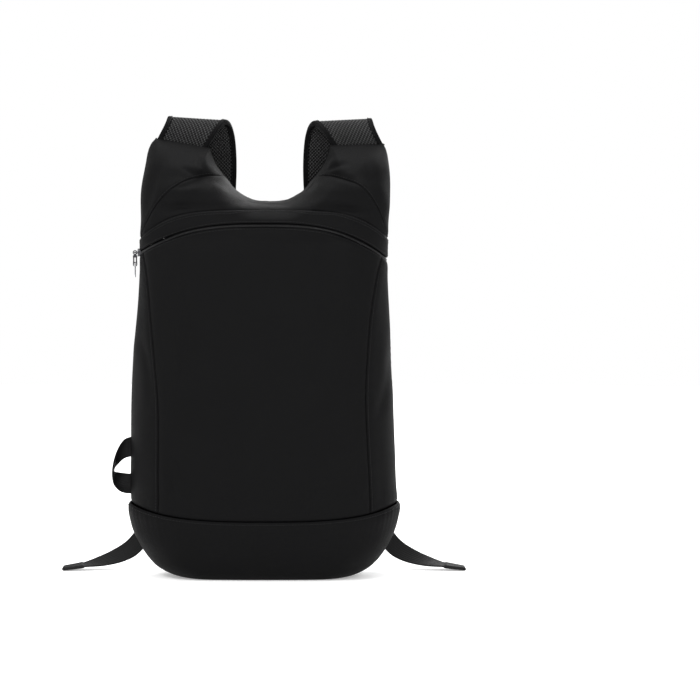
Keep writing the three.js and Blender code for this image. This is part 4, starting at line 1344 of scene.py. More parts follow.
        def surface(s: Array, v: Array) -> Array:
            """A point of the yoke."""
            left = self.yoke_seam(Side.LEFT, mix(form.yoke_tip, 1, crowd_start(np.clip(s / third, 0, 1))))
            right = self.yoke_seam(
                Side.RIGHT, mix(form.yoke_tip, 1, crowd_start(np.clip((1 - s) / third, 0, 1)))
            )
            x = mix(*ends, np.clip((s - third) / (1 - 2 * third), 0, 1))
            edge = np.where(
                (s < third)[..., None],
                left,
                np.where((s > 1 - third)[..., None], right, pair(x, form.neck_height(x))),
            )
            low = form.flap_top(edge[..., 0])
            return form.on_front(pair(edge[..., 0], mix(low, edge[..., 1], np.sin(v * np.pi / 2))))

        return surface

    def shoulder_patch(self, side: Side) -> Patch:
        """Shoulder, from the yoke seam to the strap's seam, and round to the back panel.

        Args:
            side: The side.

        Returns:
            The shoulder's patch.
        """
        form, behind = self.form, 0.25
        outer_top, inner_top = (share * form.height for share in form.top_seams[(side.value + 1) // 2])

        outer = form.rising(lambda z: form.outline(side, z), self.flap_end[side], outer_top)
        inner = form.rising(lambda z: form.neck_edge(side, z), form.yoke_top * form.height, inner_top)
        corner = form.rising(form.corner_place(side), self.flap_end[side] - form.zip_tail, outer_top)

        def straight(start: Array, end: Array) -> Curve:
            """A straight edge."""
            return lambda s: mix(start, end, np.asarray(s)[..., None])

        a, b = np.float64(0), np.float64(1)
        top = straight(outer(b), inner(b))
        front = coons(lambda s: self.yoke_seam(side, s), top, outer, inner)
        back = coons(straight(outer(a), corner(a)), straight(outer(b), corner(b)), outer, corner)

        def surface(s: Array, rise: Array) -> Array:
            """A point of the shoulder."""
            v = np.sin(rise * np.pi / 2)
            t = (s if side is Side.LEFT else 1 - s) - behind
            on_back = form.on_back(back(crowd(np.maximum(-t / behind, 0)), v))
            on_front = form.on_front(front(crowd_start(np.maximum(t / (1 - behind), 0)), v))
            return np.where((t < 0)[..., None], on_back, on_front)

        return surface

    def back_patch(self) -> Patch:
        """Back panel, up to the neck scoop and the shoulders' top seams."""
        form = self.form

        def corner(side: Side) -> Curve:
            """The seam to one side panel."""
            top = form.top_seams[(side.value + 1) // 2][0] * form.height
            return form.rising(form.corner_place(side), form.seam_side, top)

        right, left = corner(Side.RIGHT), corner(Side.LEFT)
        a, b = np.float64(0), np.float64(1)

        def top_edge(s: Array) -> Array:
            """A point of the upper edge."""
            x = mix(right(b)[0], left(b)[0], s)
            z = form.neck_height(x)
            for side in Side:
                outer, inner = form.top_seams[(side.value + 1) // 2]
                inner_x = form.neck_edge(side, np.float64(inner * form.height))
                t = (x - inner_x) / (corner(side)(b)[0] - inner_x)
                over = (
                    (np.sign(x - form.neck_shift) == side.value)
                    & (np.abs(x - form.neck_shift) >= abs(inner_x - form.neck_shift))
                )
                z = np.where(over, mix(inner, outer, t) * form.height, z)
            return pair(x, z)

        bottom: Curve = lambda s: pair(mix(right(a)[0], left(a)[0], s), form.seam_side)
        view = coons(bottom, top_edge, right, left)
        return lambda s, v: form.on_back(view(s, v))

    def base_patch(self) -> Patch:
        """Base panel, from the rest face up to the base seam, all the way round."""
        form, front_share = self.form, 0.6
        low = {side: float(form.base_seam(form.outline(side, np.float64(form.seam_side)))) for side in Side}
        ends = [float(form.outline(side, np.float64(low[side]))) for side in Side]
        stretch = 1 + form.base_overhang / form.half

        def surface(s: Array, v: Array) -> Array:
            """A point of the base."""
            t = np.mod(s, 1.0)
            ahead = mix(*ends, crowd_ends(np.clip(t / front_share, 0, 1)))
            front = form.on_front(pair(ahead, form.base_seam(ahead)))
            round_back = np.clip((t - front_share) / (1 - front_share), 0, 1)
            behind = mix(ends[1], ends[0], crowd_ends(round_back))
            lift = smooth(np.minimum(round_back, 1 - round_back) * 12)
            back = form.on_back(pair(behind, mix(form.base_seam(behind), form.seam_side, lift)))
            seam = np.where((t < front_share)[..., None], front, back)
            angle = (1 - v) * np.pi / 2
            size = stretch * mix(form.rest_share, 1, np.cos(angle))
            z = (seam[..., 2] - 0.3) * (1 - np.sin(angle))
            return np.stack([seam[..., 0] * size, seam[..., 1] * size, z], -1)

        return surface

    def plan(self) -> None:
        """Lays out all the panels."""
        self._curves()
        form = self.form
        flap = self.zip_patch(form.flap_foot, form.flap_top, self.foot_end, self.flap_end)
        coil = self.zip_patch(form.coil_foot, form.flap_foot, self.coil_end, self.foot_end)
        flap_relief = SeamRelief(0.7, 1.2, 0.25, 3.0, 0.15, 5.0, 9.0, (0.0, 0.0, 0.8, 1.0))
        coil_relief = SeamRelief(0.0, 1.0, 0.0, 2.0, 0.0)
        plans: list[tuple] = [
            ("front_panel", self.front_patch(), 120, 150, {}),
            ("back_panel", self.back_patch(), 130, 150, {"loose": 0.7}),
            ("yoke", self.yoke_patch(), 190, 30, {}),
            ("zip_flap", flap, 300, 14, {"lift": 0.6, "wall": 1.6, "relief": flap_relief, "loose": 0.12}),
            ("zip_coil", coil, 300, 5, {"lift": -1.3, "wall": 1.0, "relief": coil_relief, "loose": 0.0}),
        ]
        for side in Side:
            plans.append((f"side_panel_{side.word}", self.side_patch(side), 56, 150, {}))
            plans.append((f"shoulder_{side.word}", self.shoulder_patch(side), 90, 64, {}))
        for seed, (name, patch, columns, rows, extra) in enumerate(plans):
            self.panels[name] = SewnPanel(
                name, patch, columns, rows, form, seed=seed + 3, creases=self.creases, **extra
            )

    def base_object(self) -> bpy.types.Object:
        """Makes the base as one closed tray, with its flat rest face.

        Returns:
            The base's object.
        """
        patch = self.base_patch()
        around, rings, wall = 300, 46, 1.8
        s, v = np.meshgrid(np.arange(around) / around, np.linspace(0, 1, rings))
        base = patch(s, v)

        def ringed(grid: Array) -> Array:
            """The grid with its last column put before it and its first one after it."""
            return np.concatenate([grid[:, -1:], grid, grid[:, :1]], 1)

        def facing(grid: Array) -> Array:
            """Normals of a grid that closes on itself, not yet of length one."""
            return np.cross(np.gradient(ringed(grid), axis=1)[:, 1:-1], np.gradient(grid, axis=0))

        normals = unit(facing(base))
        up = run_length(base, 0)
        across = run_length(ringed(base), 1)[:, 1:-1]
        away = up[-1:] - up
        relief = SeamRelief(swell=0.8, pucker=0.4, pucker_reach=14.0, pucker_pitch=10.0)
        turns = np.round(across[-1, -1] / relief.pucker_pitch)
        angle = s * turns
        height = -relief.sink * np.exp(-((away / relief.reach) ** 2))
        height += relief.swell * np.exp(-(((away - 7) / 7) ** 2))
        height += relief.pucker * relief.fade(away) * 0.5 * (
            np.sin(2 * np.pi * angle) + np.sin(2 * np.pi * np.round(turns * 0.43) * s + 1.0)
        )
        resting = smooth((base[..., 2] - 1.0) / 14)
        height += 0.7 * resting * smooth(away / 10) * drift(base, 46.0, 21)
        outer = base + normals * (height * resting)[..., None]
        outer[..., 2] = np.maximum(outer[..., 2], base[..., 2].min())
        face = unit(unit(facing(outer)) + 0.5 * normals)
        inner = outer - face * wall
        inner[0, :, 2] = wall
        self.base_outer, self.base_normals = outer, face
        count = around * rings
        points = np.concatenate([outer.reshape(-1, 3), inner.reshape(-1, 3), [[0, 0, 0], [0, 0, wall]]])
        faces = quads(rings, around, ring=True) + quads(rings, around, count, turned=True, ring=True)
        k = np.arange(around)
        ahead = (k + 1) % around
        top = (rings - 1) * around
        faces += np.stack([top + k, top + ahead, count + top + ahead, count + top + k], -1).tolist()
        faces += np.stack([np.full(around, 2 * count), ahead, k], -1).tolist()
        faces += np.stack([np.full(around, 2 * count + 1), count + k, count + ahead], -1).tolist()
        uv = np.stack([across, up], -1).reshape(-1, 2)
        return new_object("base_panel_cloth", points, faces, np.concatenate([uv, uv, [[0, 0], [0, 0]]]))

    def base_line(self, inset: float) -> Line:
        """A line round the base, some way under its seam.

        Args:
            inset: Distance under the seam, in millimetres.

        Returns:
            The line, once round.
        """
        closed = [
            np.concatenate([part, part[:, :1]], 1)[::-1] for part in (self.base_outer, self.base_normals)
        ]
        return inset_line(*closed, inset)

    def dress(self) -> None:
        """Makes every panel, logs its cloth area and gives it its finish."""
        flats = {
            "front_panel": (0.26, 0.295),
            "back_panel": (0.265, 0.365),
            "yoke": (0.405, 0.085),
            "zip_flap": (0.42, 0.025),
            "side_panel_left": (0.12, 0.265),
            "side_panel_right": (0.12, 0.265),
            "shoulder_left": (0.22, 0.12),
            "shoulder_right": (0.22, 0.12),
            "base_panel": (0.37, 0.275),
        }
        for name, panel in self.panels.items():
            piece = panel.build()
            finish_piece(piece, TAPE if name == "zip_coil" else CLOTH, nodes=(name,))
            self._declare(piece, name, flats)
        base = finish_piece(self.base_object(), CLOTH, nodes=("base_panel",))
        self._declare(base, "base_panel", flats)

    def _declare(self, piece: bpy.types.Object, name: str, flats: dict[str, tuple[float, float]]) -> None:
        """Logs a panel's cloth area and the share of its flat cut's rectangle that it fills.

        Args:
            piece: The panel's object.
            name: The panel's name.
            flats: Width and length of each panel's flat cut, in metres.
        """
        if name not in flats:
            return
        area = cloth_area(piece)
        width, length = flats[name]
        share = area / (width * length)
        log.info("%s: %.4f square metres, %.2f of its rectangle", piece.name, area, share)

    def stitch(self) -> None:
        """Sews the topstitching of the body."""
        thread = Stitching("body_stitches")
        panels = self.panels
        flap = panels["zip_flap"]
        for edge, inset in ((Edge.TOP, 2.0), (Edge.TOP, 4.4), (Edge.BOTTOM, 1.6)):
            thread.sew(flap.line(edge, inset))
        thread.sew(panels["front_panel"].line(Edge.TOP, 2.6))
        for side, near in ((Side.LEFT, Edge.RIGHT), (Side.RIGHT, Edge.LEFT)):
            thread.sew(panels[f"side_panel_{side.word}"].line(near, 2.2))
            thread.sew(panels[f"shoulder_{side.word}"].line(Edge.TOP, 2.2))
            thread.sew(panels[f"shoulder_{side.word}"].line(Edge.BOTTOM, 2.0).cut(24, -4))
        thread.sew(panels["back_panel"].line(Edge.TOP, 3.0))
        thread.sew(panels["back_panel"].line(Edge.BOTTOM, 2.4))
        thread.sew(self.base_line(2.8))
        thread.build()
        teeth = Stitching("zip_teeth", pitch=1.25, length=2.5, radius=0.5, turned=True, rise=0.25)
        teeth.sew(panels["zip_coil"].line(Edge.BOTTOM, 0.9))
        teeth.build(PLASTIC)


# Strips: straps, bindings and webbing


@dataclass(frozen=True)
class Rail:
    """A line in space with the direction of a strip's width and of its outer face."""

    points: Array
    across: Array
    out: Array
    wide: Array

    @classmethod
    def through(cls, points: Array, across: Array, wide: float | Array, step: float = 1.0) -> "Rail":
        """Lays a rail along points, in even steps.

        Args:
            points: Points of the middle line, close together.
            across: Direction of the width, one for all or one for each.
            wide: Width of the strip, one for all or one for each.
            step: Length of a step, in millimetres.

        Returns:
            The rail.
        """
        run = run_length(points)
        across, wide = np.broadcast_to(across, points.shape), np.broadcast_to(wide, run.shape)
        at = np.linspace(0, run[-1], max(3, int(run[-1] / step) + 1))
        spots, turns = (sample(at, run, part) for part in (points, across))
        turns = unit(turns)
        out = unit(np.cross(turns, np.gradient(spots, axis=0)))
        return cls(spots, turns, out, np.interp(at, run, wide))

    @property
    def run(self) -> Array:
        """Length run at each point."""
        return run_length(self.points)

    def place(self, u: Array, along: Array, rise: Array) -> Array:
        """Points beside the rail.

        Args:
            u: Distance across, from the middle line.
            along: Length run.
            rise: Distance outwards.

        Returns:
            The points.
        """
        run = self.run
        spot, across, out = (sample(along, run, part) for part in (self.points, self.across, self.out))
        return spot + across * u[..., None] + out * rise[..., None]

    def row(self, u: float, rise: float, start: float = 0.0, end: float = 0.0, face: int = 1) -> Line:
        """A line on the strip's face, along it.

        Args:
            u: Share of half the width, from -1 to 1.
            rise: Distance of the face from the middle.
            start: Length left out at the start.
            end: Length left out at the end.
            face: 1 for the outer face and -1 for the inner one.

        Returns:
            The line.
        """
        along = np.linspace(start, self.run[-1] - end, 200)
        wide = np.interp(along, self.run, self.wide)
        points = self.place(u * wide / 2, along, np.full(200, face * rise))
        normals = sample(along, self.run, self.out) * face
        return Line(points, unit(normals))

    def row_across(self, along: float, rise: float, inset: float, face: int = 1) -> Line:
        """A line on the strip's face, straight across it.

        Args:
            along: Where it crosses, from the start.
            rise: Distance of the face from the middle.
            inset: Distance left out at each side.
            face: 1 for the outer face and -1 for the inner one.

        Returns:
            The line.
        """
        half = np.interp(along, self.run, self.wide) / 2 - inset
        u = np.linspace(-half, half, 40)
        points = self.place(u, np.full(40, along), np.full(40, face * rise))
        normal = sample(along, self.run, self.out) * face
        return Line(points, np.repeat(unit(normal)[None], 40, 0))


@dataclass
class Ribbon:
    """A flat strip of webbing or tape, with rounded edges and ribs along it."""

    name: str
    rail: Rail
    thick: float | Array
    columns: int = 40
    rib_pitch: float = 2.4
    rib: float = 0.32

    def build(self) -> bpy.types.Object:
        """Makes the strip as one closed mesh.

        Returns:
            The strip's object.
        """
        run, half = self.rail.run, self.rail.wide / 2
        thick = np.broadcast_to(self.thick, run.shape)[:, None] / 2
        even = np.linspace(-1, 1, self.columns + 1)
        share = np.sin(even * np.pi / 2) * 0.5 + even * 0.5
        u = half[:, None] * share[None]
        bulge = np.minimum(thick, (half[:, None] - np.abs(u)) + 0.12)
        ridge = np.abs(np.sin(np.pi * u / self.rib_pitch)) - 0.5
        ribs = self.rib * ridge * (bulge > thick - 0.05)
        top = bulge + ribs
        along = np.repeat(run[:, None], self.columns + 1, 1)
        upper, lower = self.rail.place(u, along, top), self.rail.place(u, along, -top)
        loop = np.concatenate([upper, lower[:, ::-1]], 1)
        rows, around = loop.shape[:2]
        points = loop.reshape(-1, 3)
        faces = quads(rows, around, ring=True, turned=True)
        for end, turned in ((0, False), (rows - 1, True)):
            for k in range(self.columns):
                cap = [end * around + j for j in (k, k + 1, around - 2 - k, around - 1 - k)]
                faces.append(cap[::-1] if turned else cap)
        uv = np.concatenate([np.stack([u, along], -1), np.stack([u[:, ::-1], along], -1)], 1).reshape(-1, 2)
        return new_object(self.name, points, faces, uv)


@dataclass
class Binding:
    """A tape folded round one edge of a strap."""

    name: str
    rail: Rail
    edge: int
    thick: Array
    width: float = 5.6
    around: int = 18
    overhang: float = 0.15
    clear: float = 0.55

    def build(self) -> bpy.types.Object:
        """Makes the tape as one closed mesh.

        Returns:
            The tape's object.
        """
        angle = np.arange(self.around) / self.around * 2 * np.pi
        soft: Callable[[Array], Array] = lambda t: np.sign(t) * np.abs(t) ** 0.5
        middle = self.edge * (self.rail.wide / 2 - self.width / 2 + self.overhang)
        u = middle[:, None] + soft(np.cos(angle))[None] * self.width / 2
        wave = 1 + 0.03 * ripple(self.rail.run / 6.0, 5 + self.edge)[:, None]
        rise = soft(np.sin(angle))[None] * (self.thick[:, None] / 2 + self.clear) * wave
        along = np.repeat(self.rail.run[:, None], self.around, 1)
        loop = self.rail.place(u, along, rise)
        rows = len(loop)
        faces = quads(rows, self.around, ring=True, turned=True)
        faces += [list(range(self.around)), list(range((rows - 1) * self.around, rows * self.around))[::-1]]
        girth = np.arange(self.around) * 1.2
        uv = np.stack([np.repeat(girth[None], rows, 0), along], -1).reshape(-1, 2)
        return new_object(self.name, loop.reshape(-1, 3), faces, uv)


@dataclass
class MeshPad:
    """The spacer mesh of a strap: a lattice of threads round small diamond hollows, on both faces, with a
    mask for the shade painted into them.
    """

    name: str
    rail: Rail
    thick: Array
    pitch: float = 3.4
    step: float = 1.9
    hole: float = 0.78
    depth: float = 1.7
    margin: float = 2.6
    most_across: int = 14
    knot_rise: float = 0.22
    rim_drop: float = 0.45
    # How strong the painted shade is on the rim of each hollow.
    rim_pit: float = 0.85

    def build(self) -> bpy.types.Object:
        """Makes the pad as one closed mesh.

        Returns:
            The pad's object.
        """
        run, length = self.rail.run, self.rail.run[-1]
        rows = int(length / self.step) - 1
        centres = [
            (i * self.pitch + (j % 2) * self.pitch / 2, (j + 1) * self.step)
            for j in range(rows)
            for i in range(-self.most_across, self.most_across + 1)
        ]
        centres = np.array(
            [c for c in centres if abs(c[0]) < np.interp(c[1], run, self.rail.wide) / 2 - self.margin]
        )
        corner = np.array(
            [(1, 0), (0.5, 0.5), (0, 1), (-0.5, 0.5), (-1, 0), (-0.5, -0.5), (0, -1), (0.5, -0.5)]
        )
        size = np.array([self.pitch / 2, self.step])
        outer = centres[:, None] + corner[None] * size
        angle = np.arange(8) / 8 * 2 * np.pi
        ring = np.stack([np.cos(angle), np.sin(angle)], -1) * self.hole * size * (1.0, 0.9)
        inner = centres[:, None] + ring[None]
        keys, where = np.unique(np.round(outer.reshape(-1, 2), 3), axis=0, return_inverse=True)
        where = where.reshape(len(centres), 8)
        cells, crossings = len(centres), len(keys)
        flat = np.concatenate([keys, inner.reshape(-1, 2), centres])
        knots = np.abs(np.mod(keys[:, 1] / self.step, 1) - 0.5) > 0.4
        levels = np.where(knots, self.knot_rise, 0.0)
        drop = np.concatenate([levels, np.full(8 * cells, -self.rim_drop), np.full(cells, -self.depth)])
        # Mask of the painted shade: none on the threads, strong on each hollow's rim and full at its
        # middle.
        pit = np.concatenate([np.zeros(crossings), np.full(8 * cells, self.rim_pit), np.ones(cells)])
        faces = []
        hole = crossings + np.arange(cells)[:, None] * 8 + np.arange(8)[None]
        ahead, hole_ahead = np.roll(where, -1, 1), np.roll(hole, -1, 1)
        faces += np.stack([where, ahead, hole_ahead, hole], -1).reshape(-1, 4).tolist()
        middle = np.repeat((crossings + 8 * cells + np.arange(cells))[:, None], 8, 1)
        faces += np.stack([hole, hole_ahead, middle], -1).reshape(-1, 3).tolist()
        sides = np.stack([where, ahead], -1).reshape(-1, 2)
        codes = np.sort(sides, 1) @ (len(flat), 1)
        _, first, counts = np.unique(codes, return_index=True, return_counts=True)
        border = sides[first[counts == 1]]
        count = len(flat)
        under = [[k + count for k in face][::-1] for face in faces]
        walls = np.stack(
            [border[:, 1], border[:, 0], border[:, 0] + count, border[:, 1] + count], -1
        ).tolist()
        half = np.interp(flat[:, 1], run, self.thick) / 2
        upper = self.rail.place(flat[:, 0], flat[:, 1], half + drop)
        lower = self.rail.place(flat[:, 0], flat[:, 1], -half - drop)
        made = new_object(
            self.name, np.concatenate([upper, lower]), faces + under + walls, np.concatenate([flat, flat])
        )
        layer = made.data.attributes.new("pit", "FLOAT", "POINT")
        layer.data.foreach_set("value", np.concatenate([pit, pit]).astype(np.float32))
        return made


@dataclass
class Harness:
    """One shoulder strap: mesh, bindings, tab, ladder buckle and adjusting webbing."""

    side: Side
    form: BagForm = BagForm()
    strap_width: float = 69.0
    strap_thick: float = 5.0
    touch: float = 0.3
    lead: float = 1.6
    web_width: float = 20.0
    web_thick: float = 1.5
    hem: float = 22.0
    bar: float = 3.0
    slot_height: float = 9.0
    buckle_depth: float = 4.0
    tab_lap: float = 14.0
    anchor_shift: float = 8.0
    tuck: float = 4.0
    cap_height: float = 7.0
    tab_slack: float = 0.25
    stitch_in: float = 4.1
    rows: Table = Table(
        ("out", "back", "up", "wide", "tilt"),
        (
            (0.645, 0.33, 1.1625, 0.74, 0.08), (0.59, 0.352, 1.197, 0.77, 0.07),
            (0.55, 0.43, 1.2185, 0.85, 0.05), (0.53, 0.515, 1.211, 0.93, 0.05),
            (0.516, 0.57, 1.18, 0.98, 0.04), (0.508, 0.63, 1.104, 1.0, 0.0), (0.52, 0.685, 1.0, 1.0, 0.0),
            (0.555, 0.715, 0.85, 0.985, 0.0), (0.605, 0.705, 0.69, 0.93, 0.0),
            (0.655, 0.665, 0.54, 0.81, 0.0), (0.695, 0.62, 0.475, 0.69, 0.0),
            (0.7, 0.605, 0.437, 0.58, 0.0), (0.7, 0.605, 0.4, 0.48, 0.0),
        ),
    )
    tail: Table = Table(
        ("out", "back", "up", "turn_out", "turn_back", "turn_up"),
        (
            (0.715, 0.66, 1.55, 1, 0, 0.05), (0.765, 0.69, 1.1, 0.9, 0.12, 0.4),
            (0.86, 0.64, 0.72, 0.66, 0.35, 0.66), (0.945, 0.56, 0.49, 0.6, 0.42, 0.68),
            (1.01, 0.52, 0.345, 0.52, 0.5, 0.69), (1.11, 0.49, 0.225, 0.5, 0.66, 0.56),
            (1.235, 0.47, 0.135, 0.38, 0.85, 0.34), (1.35, 0.45, 0.085, 0.15, 0.97, 0.1),
            (1.525, 0.42, 0.03, 0, 1, 0),
        ),
    )

    @property
    def wrap_radius(self) -> float:
        """Radius of webbing's middle line round a bar of the buckle."""
        return self.strap_thick / 2 + self.touch + self.web_thick / 2

    def strap_rail(self) -> Rail:
        """The strap's path, from inside the shoulder's top seam down to the buckle."""
        form, sign = self.form, self.side.value
        grid = np.array(self.rows.rows)
        (outer, inner) = form.top_seams[(sign + 1) // 2]
        lift = (outer + inner) / 2 * form.height + 2 * self.touch + self.lead - grid[0, 2] * form.height
        rows = np.stack(
            [
                form.neck_shift + sign * grid[:, 0] * form.half,
                grid[:, 1] * form.depth,
                grid[:, 2] * form.height + lift,
            ],
            -1,
        )
        t = np.linspace(0, 1, 700)
        keys = Table(
            ("at", "wide", "tilt"),
            tuple((k / (len(grid) - 1), row[3], row[4]) for k, row in enumerate(grid)),
        )
        points = catmull_rom(rows, t)
        slant = (outer - inner) * form.height / (grid[0, 3] * self.strap_width)
        tilt = mix(slant, keys.read("at", "tilt", t), smooth(t * 32 / 7))
        across = unit(np.stack([np.full_like(t, sign), np.zeros_like(t), tilt], -1))
        wide = keys.read("at", "wide", t) * self.strap_width
        self.end = points[-1]
        tuck = points[0] + (points[0] - points[4]) / np.linalg.norm(points[0] - points[4]) * self.tuck
        points, across = np.vstack([tuck, points]), np.vstack([across[0], across])
        return Rail.through(points, across, np.append(wide[0], wide), 1.2)

    def strap(self, thread: Stitching) -> None:
        """Makes the mesh strap with its bindings and their seams.

        Args:
            thread: The stitching to sew with.
        """
        word, rail = self.side.word, self.strap_rail()
        ends = mix(1, 0.8, smooth((rail.run - rail.run[-1] + 16) / 14))
        thick = mix(2.4, self.strap_thick - 0.6, smooth(rail.run / 12)) * ends
        pad = MeshPad(f"strap_{word}_mesh", rail, thick).build()
        finish_piece(pad, MESH, nodes=(f"strap_{word}",))
        for edge, place in ((-1, "inner"), (1, "outer")):
            name = f"binding_{word}_{place}"
            finish_piece(Binding(f"{name}_tape", rail, edge, thick + 0.3).build(), TAPE, nodes=(name,))
            for face in (-1, 1):
                row = rail.row(edge, self.strap_thick / 2 + 0.62, 8, 6, face)
                inward = sample(np.linspace(8, rail.run[-1] - 6, 200), rail.run, rail.across)
                thread.sew(Line(row.points - edge * inward * self.stitch_in, row.normals))
        keep = rail.run >= rail.run[-1] - self.cap_height
        patch = Rail(rail.points[keep], rail.across[keep], rail.out[keep], rail.wide[keep] + 0.6)
        cap = Ribbon(f"strap_end_{word}", patch, self.strap_thick + 0.9, rib=0.0)
        finish_piece(cap.build(), TAPE)

    def wrap(self, bar: Array, over: int) -> Array:
        """Half a turn of webbing round a bar, front to back: over it for 1, under it for -1."""
        angle = np.linspace(0, np.pi, 15)[:, None]
        return bar + self.wrap_radius * np.concatenate([0 * angle, -np.cos(angle), over * np.sin(angle)], 1)

    def fittings(self, thread: Stitching) -> None:
        """Makes the buckle, the tab that holds it and the webbing.

        Args:
            thread: The stitching to sew with.
        """
        sign, word, form = self.side.value, self.side.word, self.form
        top_bar = self.end - (0, 0, self.wrap_radius + self.bar)
        middle = top_bar - (0, 0, self.bar + self.slot_height)
        wide, high = self.web_width + 2 * (self.bar + 1), 3 * self.bar + 2 * self.slot_height
        slots = [
            rounded_box(
                wide - 2 * self.bar, self.slot_height, 1.2, (0, k * (self.bar + self.slot_height) / 2)
            ) for k in (-1, 1)
        ]
        buckle = plate(
            f"buckle_{word}_plate", [rounded_box(wide, high, 2.4), *slots], self.buckle_depth, 0.7
        )
        buckle.data.transform(plate_turn(Plane.XZ, middle))
        finish_piece(buckle, PLASTIC, nodes=(f"buckle_{word}",))

        across = np.array([sign, 0.0, 0.0])
        apart = self.wrap_radius + self.tab_slack
        front, back = ([self.end + (0, k * apart, rise) for rise in (self.tab_lap, 4)] for k in (-1, 1))
        line = np.vstack([*front, self.wrap(top_bar, -1), *back[::-1]])
        points = catmull_rom(line, np.linspace(0, 1, 160))
        rail = Rail.through(points, across, self.web_width, 0.8)
        tab = Ribbon(f"tab_{word}_weave", rail, self.web_thick).build()
        finish_piece(tab, WEBBING, nodes=(f"tab_{word}",))
        for far in (2.0, 5.0, rail.run[-1] - 5.0, rail.run[-1] - 2.0):
            thread.sew(rail.row_across(far, self.web_thick / 2, 1.2, 1 if sign > 0 else -1), 0.4, -0.4)

        anchor_x, anchor_z = middle[0] + sign * self.anchor_shift, form.seam_side + 2
        flat = form.on_back(pair(anchor_x - sign * self.web_width / 2, anchor_z))
        anchor_y = float(flat[1]) + self.touch + self.web_thick / 2 + 0.5
        start = np.array([
            (anchor_x, anchor_y, anchor_z - 1),
            (anchor_x, anchor_y, anchor_z + 6),
            (
                mix(anchor_x, middle[0], 0.6),
                mix(anchor_y, middle[1] - self.wrap_radius, 0.6),
                anchor_z + 18,
            ),
        ])
        below = middle + (0, self.wrap_radius, -high / 2)
        grid = np.array(self.tail.rows)
        tail = np.stack(
            [
                sign * grid[:, 0] * form.half,
                grid[:, 1] * form.depth,
                grid[:, 2] * form.base_height + self.touch,
            ],
            -1,
        )
        turns = unit(np.stack([sign * grid[:, 3], grid[:, 4], grid[:, 5]], -1))
        head = np.vstack([start, self.wrap(middle, 1), below])
        line = np.vstack([head, tail])
        ways = np.vstack([np.repeat(across[None], len(head), 0), turns])
        t = np.linspace(0, 1, 900)
        points = catmull_rom(line, t)
        ways = sample(t * (len(line) - 1), np.arange(len(line)), ways)
        rail = Rail.through(points, ways, self.web_width)
        run = rail.run
        doubled = smooth((run - run[-1] + self.hem) / 0.9)
        thick = self.web_thick * (1 + doubled)
        end_round = np.sqrt(np.clip((run[-1] - run) / 1.4, 0, 1))
        web = Ribbon(f"webbing_{word}_weave", rail, np.maximum(thick * end_round, 0.3)).build()
        finish_piece(web, WEBBING, nodes=(f"webbing_{word}",))
        log.info("%s: %.0f mm of webbing", web.name, run[-1] + self.hem)
        rows = [(run[-1] - far, self.web_thick + 0.05, 1.6, 0.3) for far in (self.hem - 2.0, 3.0)]
        for far, rise, inset, start in (*rows, (3.0, self.web_thick / 2 + 0.05, 1.2, 0.4)):
            for face in (-1, 1):
                thread.sew(rail.row_across(far, rise, inset, face), start, -start)

    def build(self) -> None:
        """Makes all of the harness on this side."""
        thread = Stitching(f"harness_stitches_{self.side.word}")
        self.strap(thread)
        self.fittings(thread)
        thread.build()


# Plates with holes


SHARP_ANGLE = math.radians(40)


def rounded_box(wide: float, high: float, radius: float, centre: tuple[float, float] = (0, 0)) -> Array:
    """Outline of a box with round corners.

    Args:
        wide: Its width.
        high: Its height.
        radius: Radius of the corners.
        centre: Its middle.

    Returns:
        Points of the outline, anticlockwise.
    """
    angle = np.linspace(0, np.pi / 2, 7)
    parts = []
    for k, (x, y) in enumerate(((1, 1), (-1, 1), (-1, -1), (1, -1))):
        turn = angle + k * np.pi / 2
        parts.append(
            np.stack(
                [
                    x * (wide / 2 - radius) + radius * np.cos(turn),
                    y * (high / 2 - radius) + radius * np.sin(turn),
                ],
                -1,
            )
        )
    return np.concatenate(parts) + centre


def circle(radius: float, centre: tuple[float, float] = (0, 0), count: int = 36) -> Array:
    """Points round a circle, anticlockwise."""
    angle = np.arange(count) / count * 2 * np.pi
    return np.stack([np.cos(angle), np.sin(angle)], -1) * radius + centre


def plate(name: str, outlines: Sequence[Array], thick: float, bevel: float) -> bpy.types.Object:
    """A flat plate with rounded edges and holes, in the XY plane.

    Args:
        name: Its name.
        outlines: Its outline, then its holes, in millimetres.
        thick: Its thickness.
        bevel: Radius of its edges.

    Returns:
        The plate's object.
    """
    curve = bpy.data.curves.new(name, "CURVE")
    curve.dimensions, curve.fill_mode = "2D", "BOTH"
    curve.extrude, curve.bevel_depth = (thick / 2 - bevel) * MM, bevel * MM
    curve.offset, curve.bevel_resolution = -bevel * MM, 3
    for outline in outlines:
        line = curve.splines.new("POLY")
        line.points.add(len(outline) - 1)
        line.use_cyclic_u = True
        for point, (x, y) in zip(line.points, outline):
            point.co = (x * MM, y * MM, 0, 1)
    holder = linked(name, curve)
    bpy.context.view_layer.update()
    mesh = bpy.data.meshes.new_from_object(holder.evaluated_get(bpy.context.evaluated_depsgraph_get()))
    bpy.data.objects.remove(holder)
    bpy.data.curves.remove(curve)
    work = bmesh.new()
    work.from_mesh(mesh)
    bmesh.ops.remove_doubles(work, verts=work.verts, dist=1e-6)
    bmesh.ops.recalc_face_normals(work, faces=work.faces)
    work.to_mesh(mesh)
    work.free()
    mesh.materials.clear()
    mesh.set_sharp_from_angle(angle=SHARP_ANGLE)
    return linked(name, mesh)


class Plane(Enum):
    """Where a plate lies once it is turned out of the XY plane: its rows of rotation."""

    XZ = ((1, 0, 0), (0, 0, -1), (0, 1, 0))
    YZ = ((0, 0, 1), (1, 0, 0), (0, 1, 0))


def plate_turn(plane: Plane, place: Array) -> Matrix:
    """The transform that turns a plate out of the XY plane and moves its middle to a place."""
    return Matrix.Translation(Vector([float(x) * MM for x in place])) @ Matrix(plane.value).to_4x4()


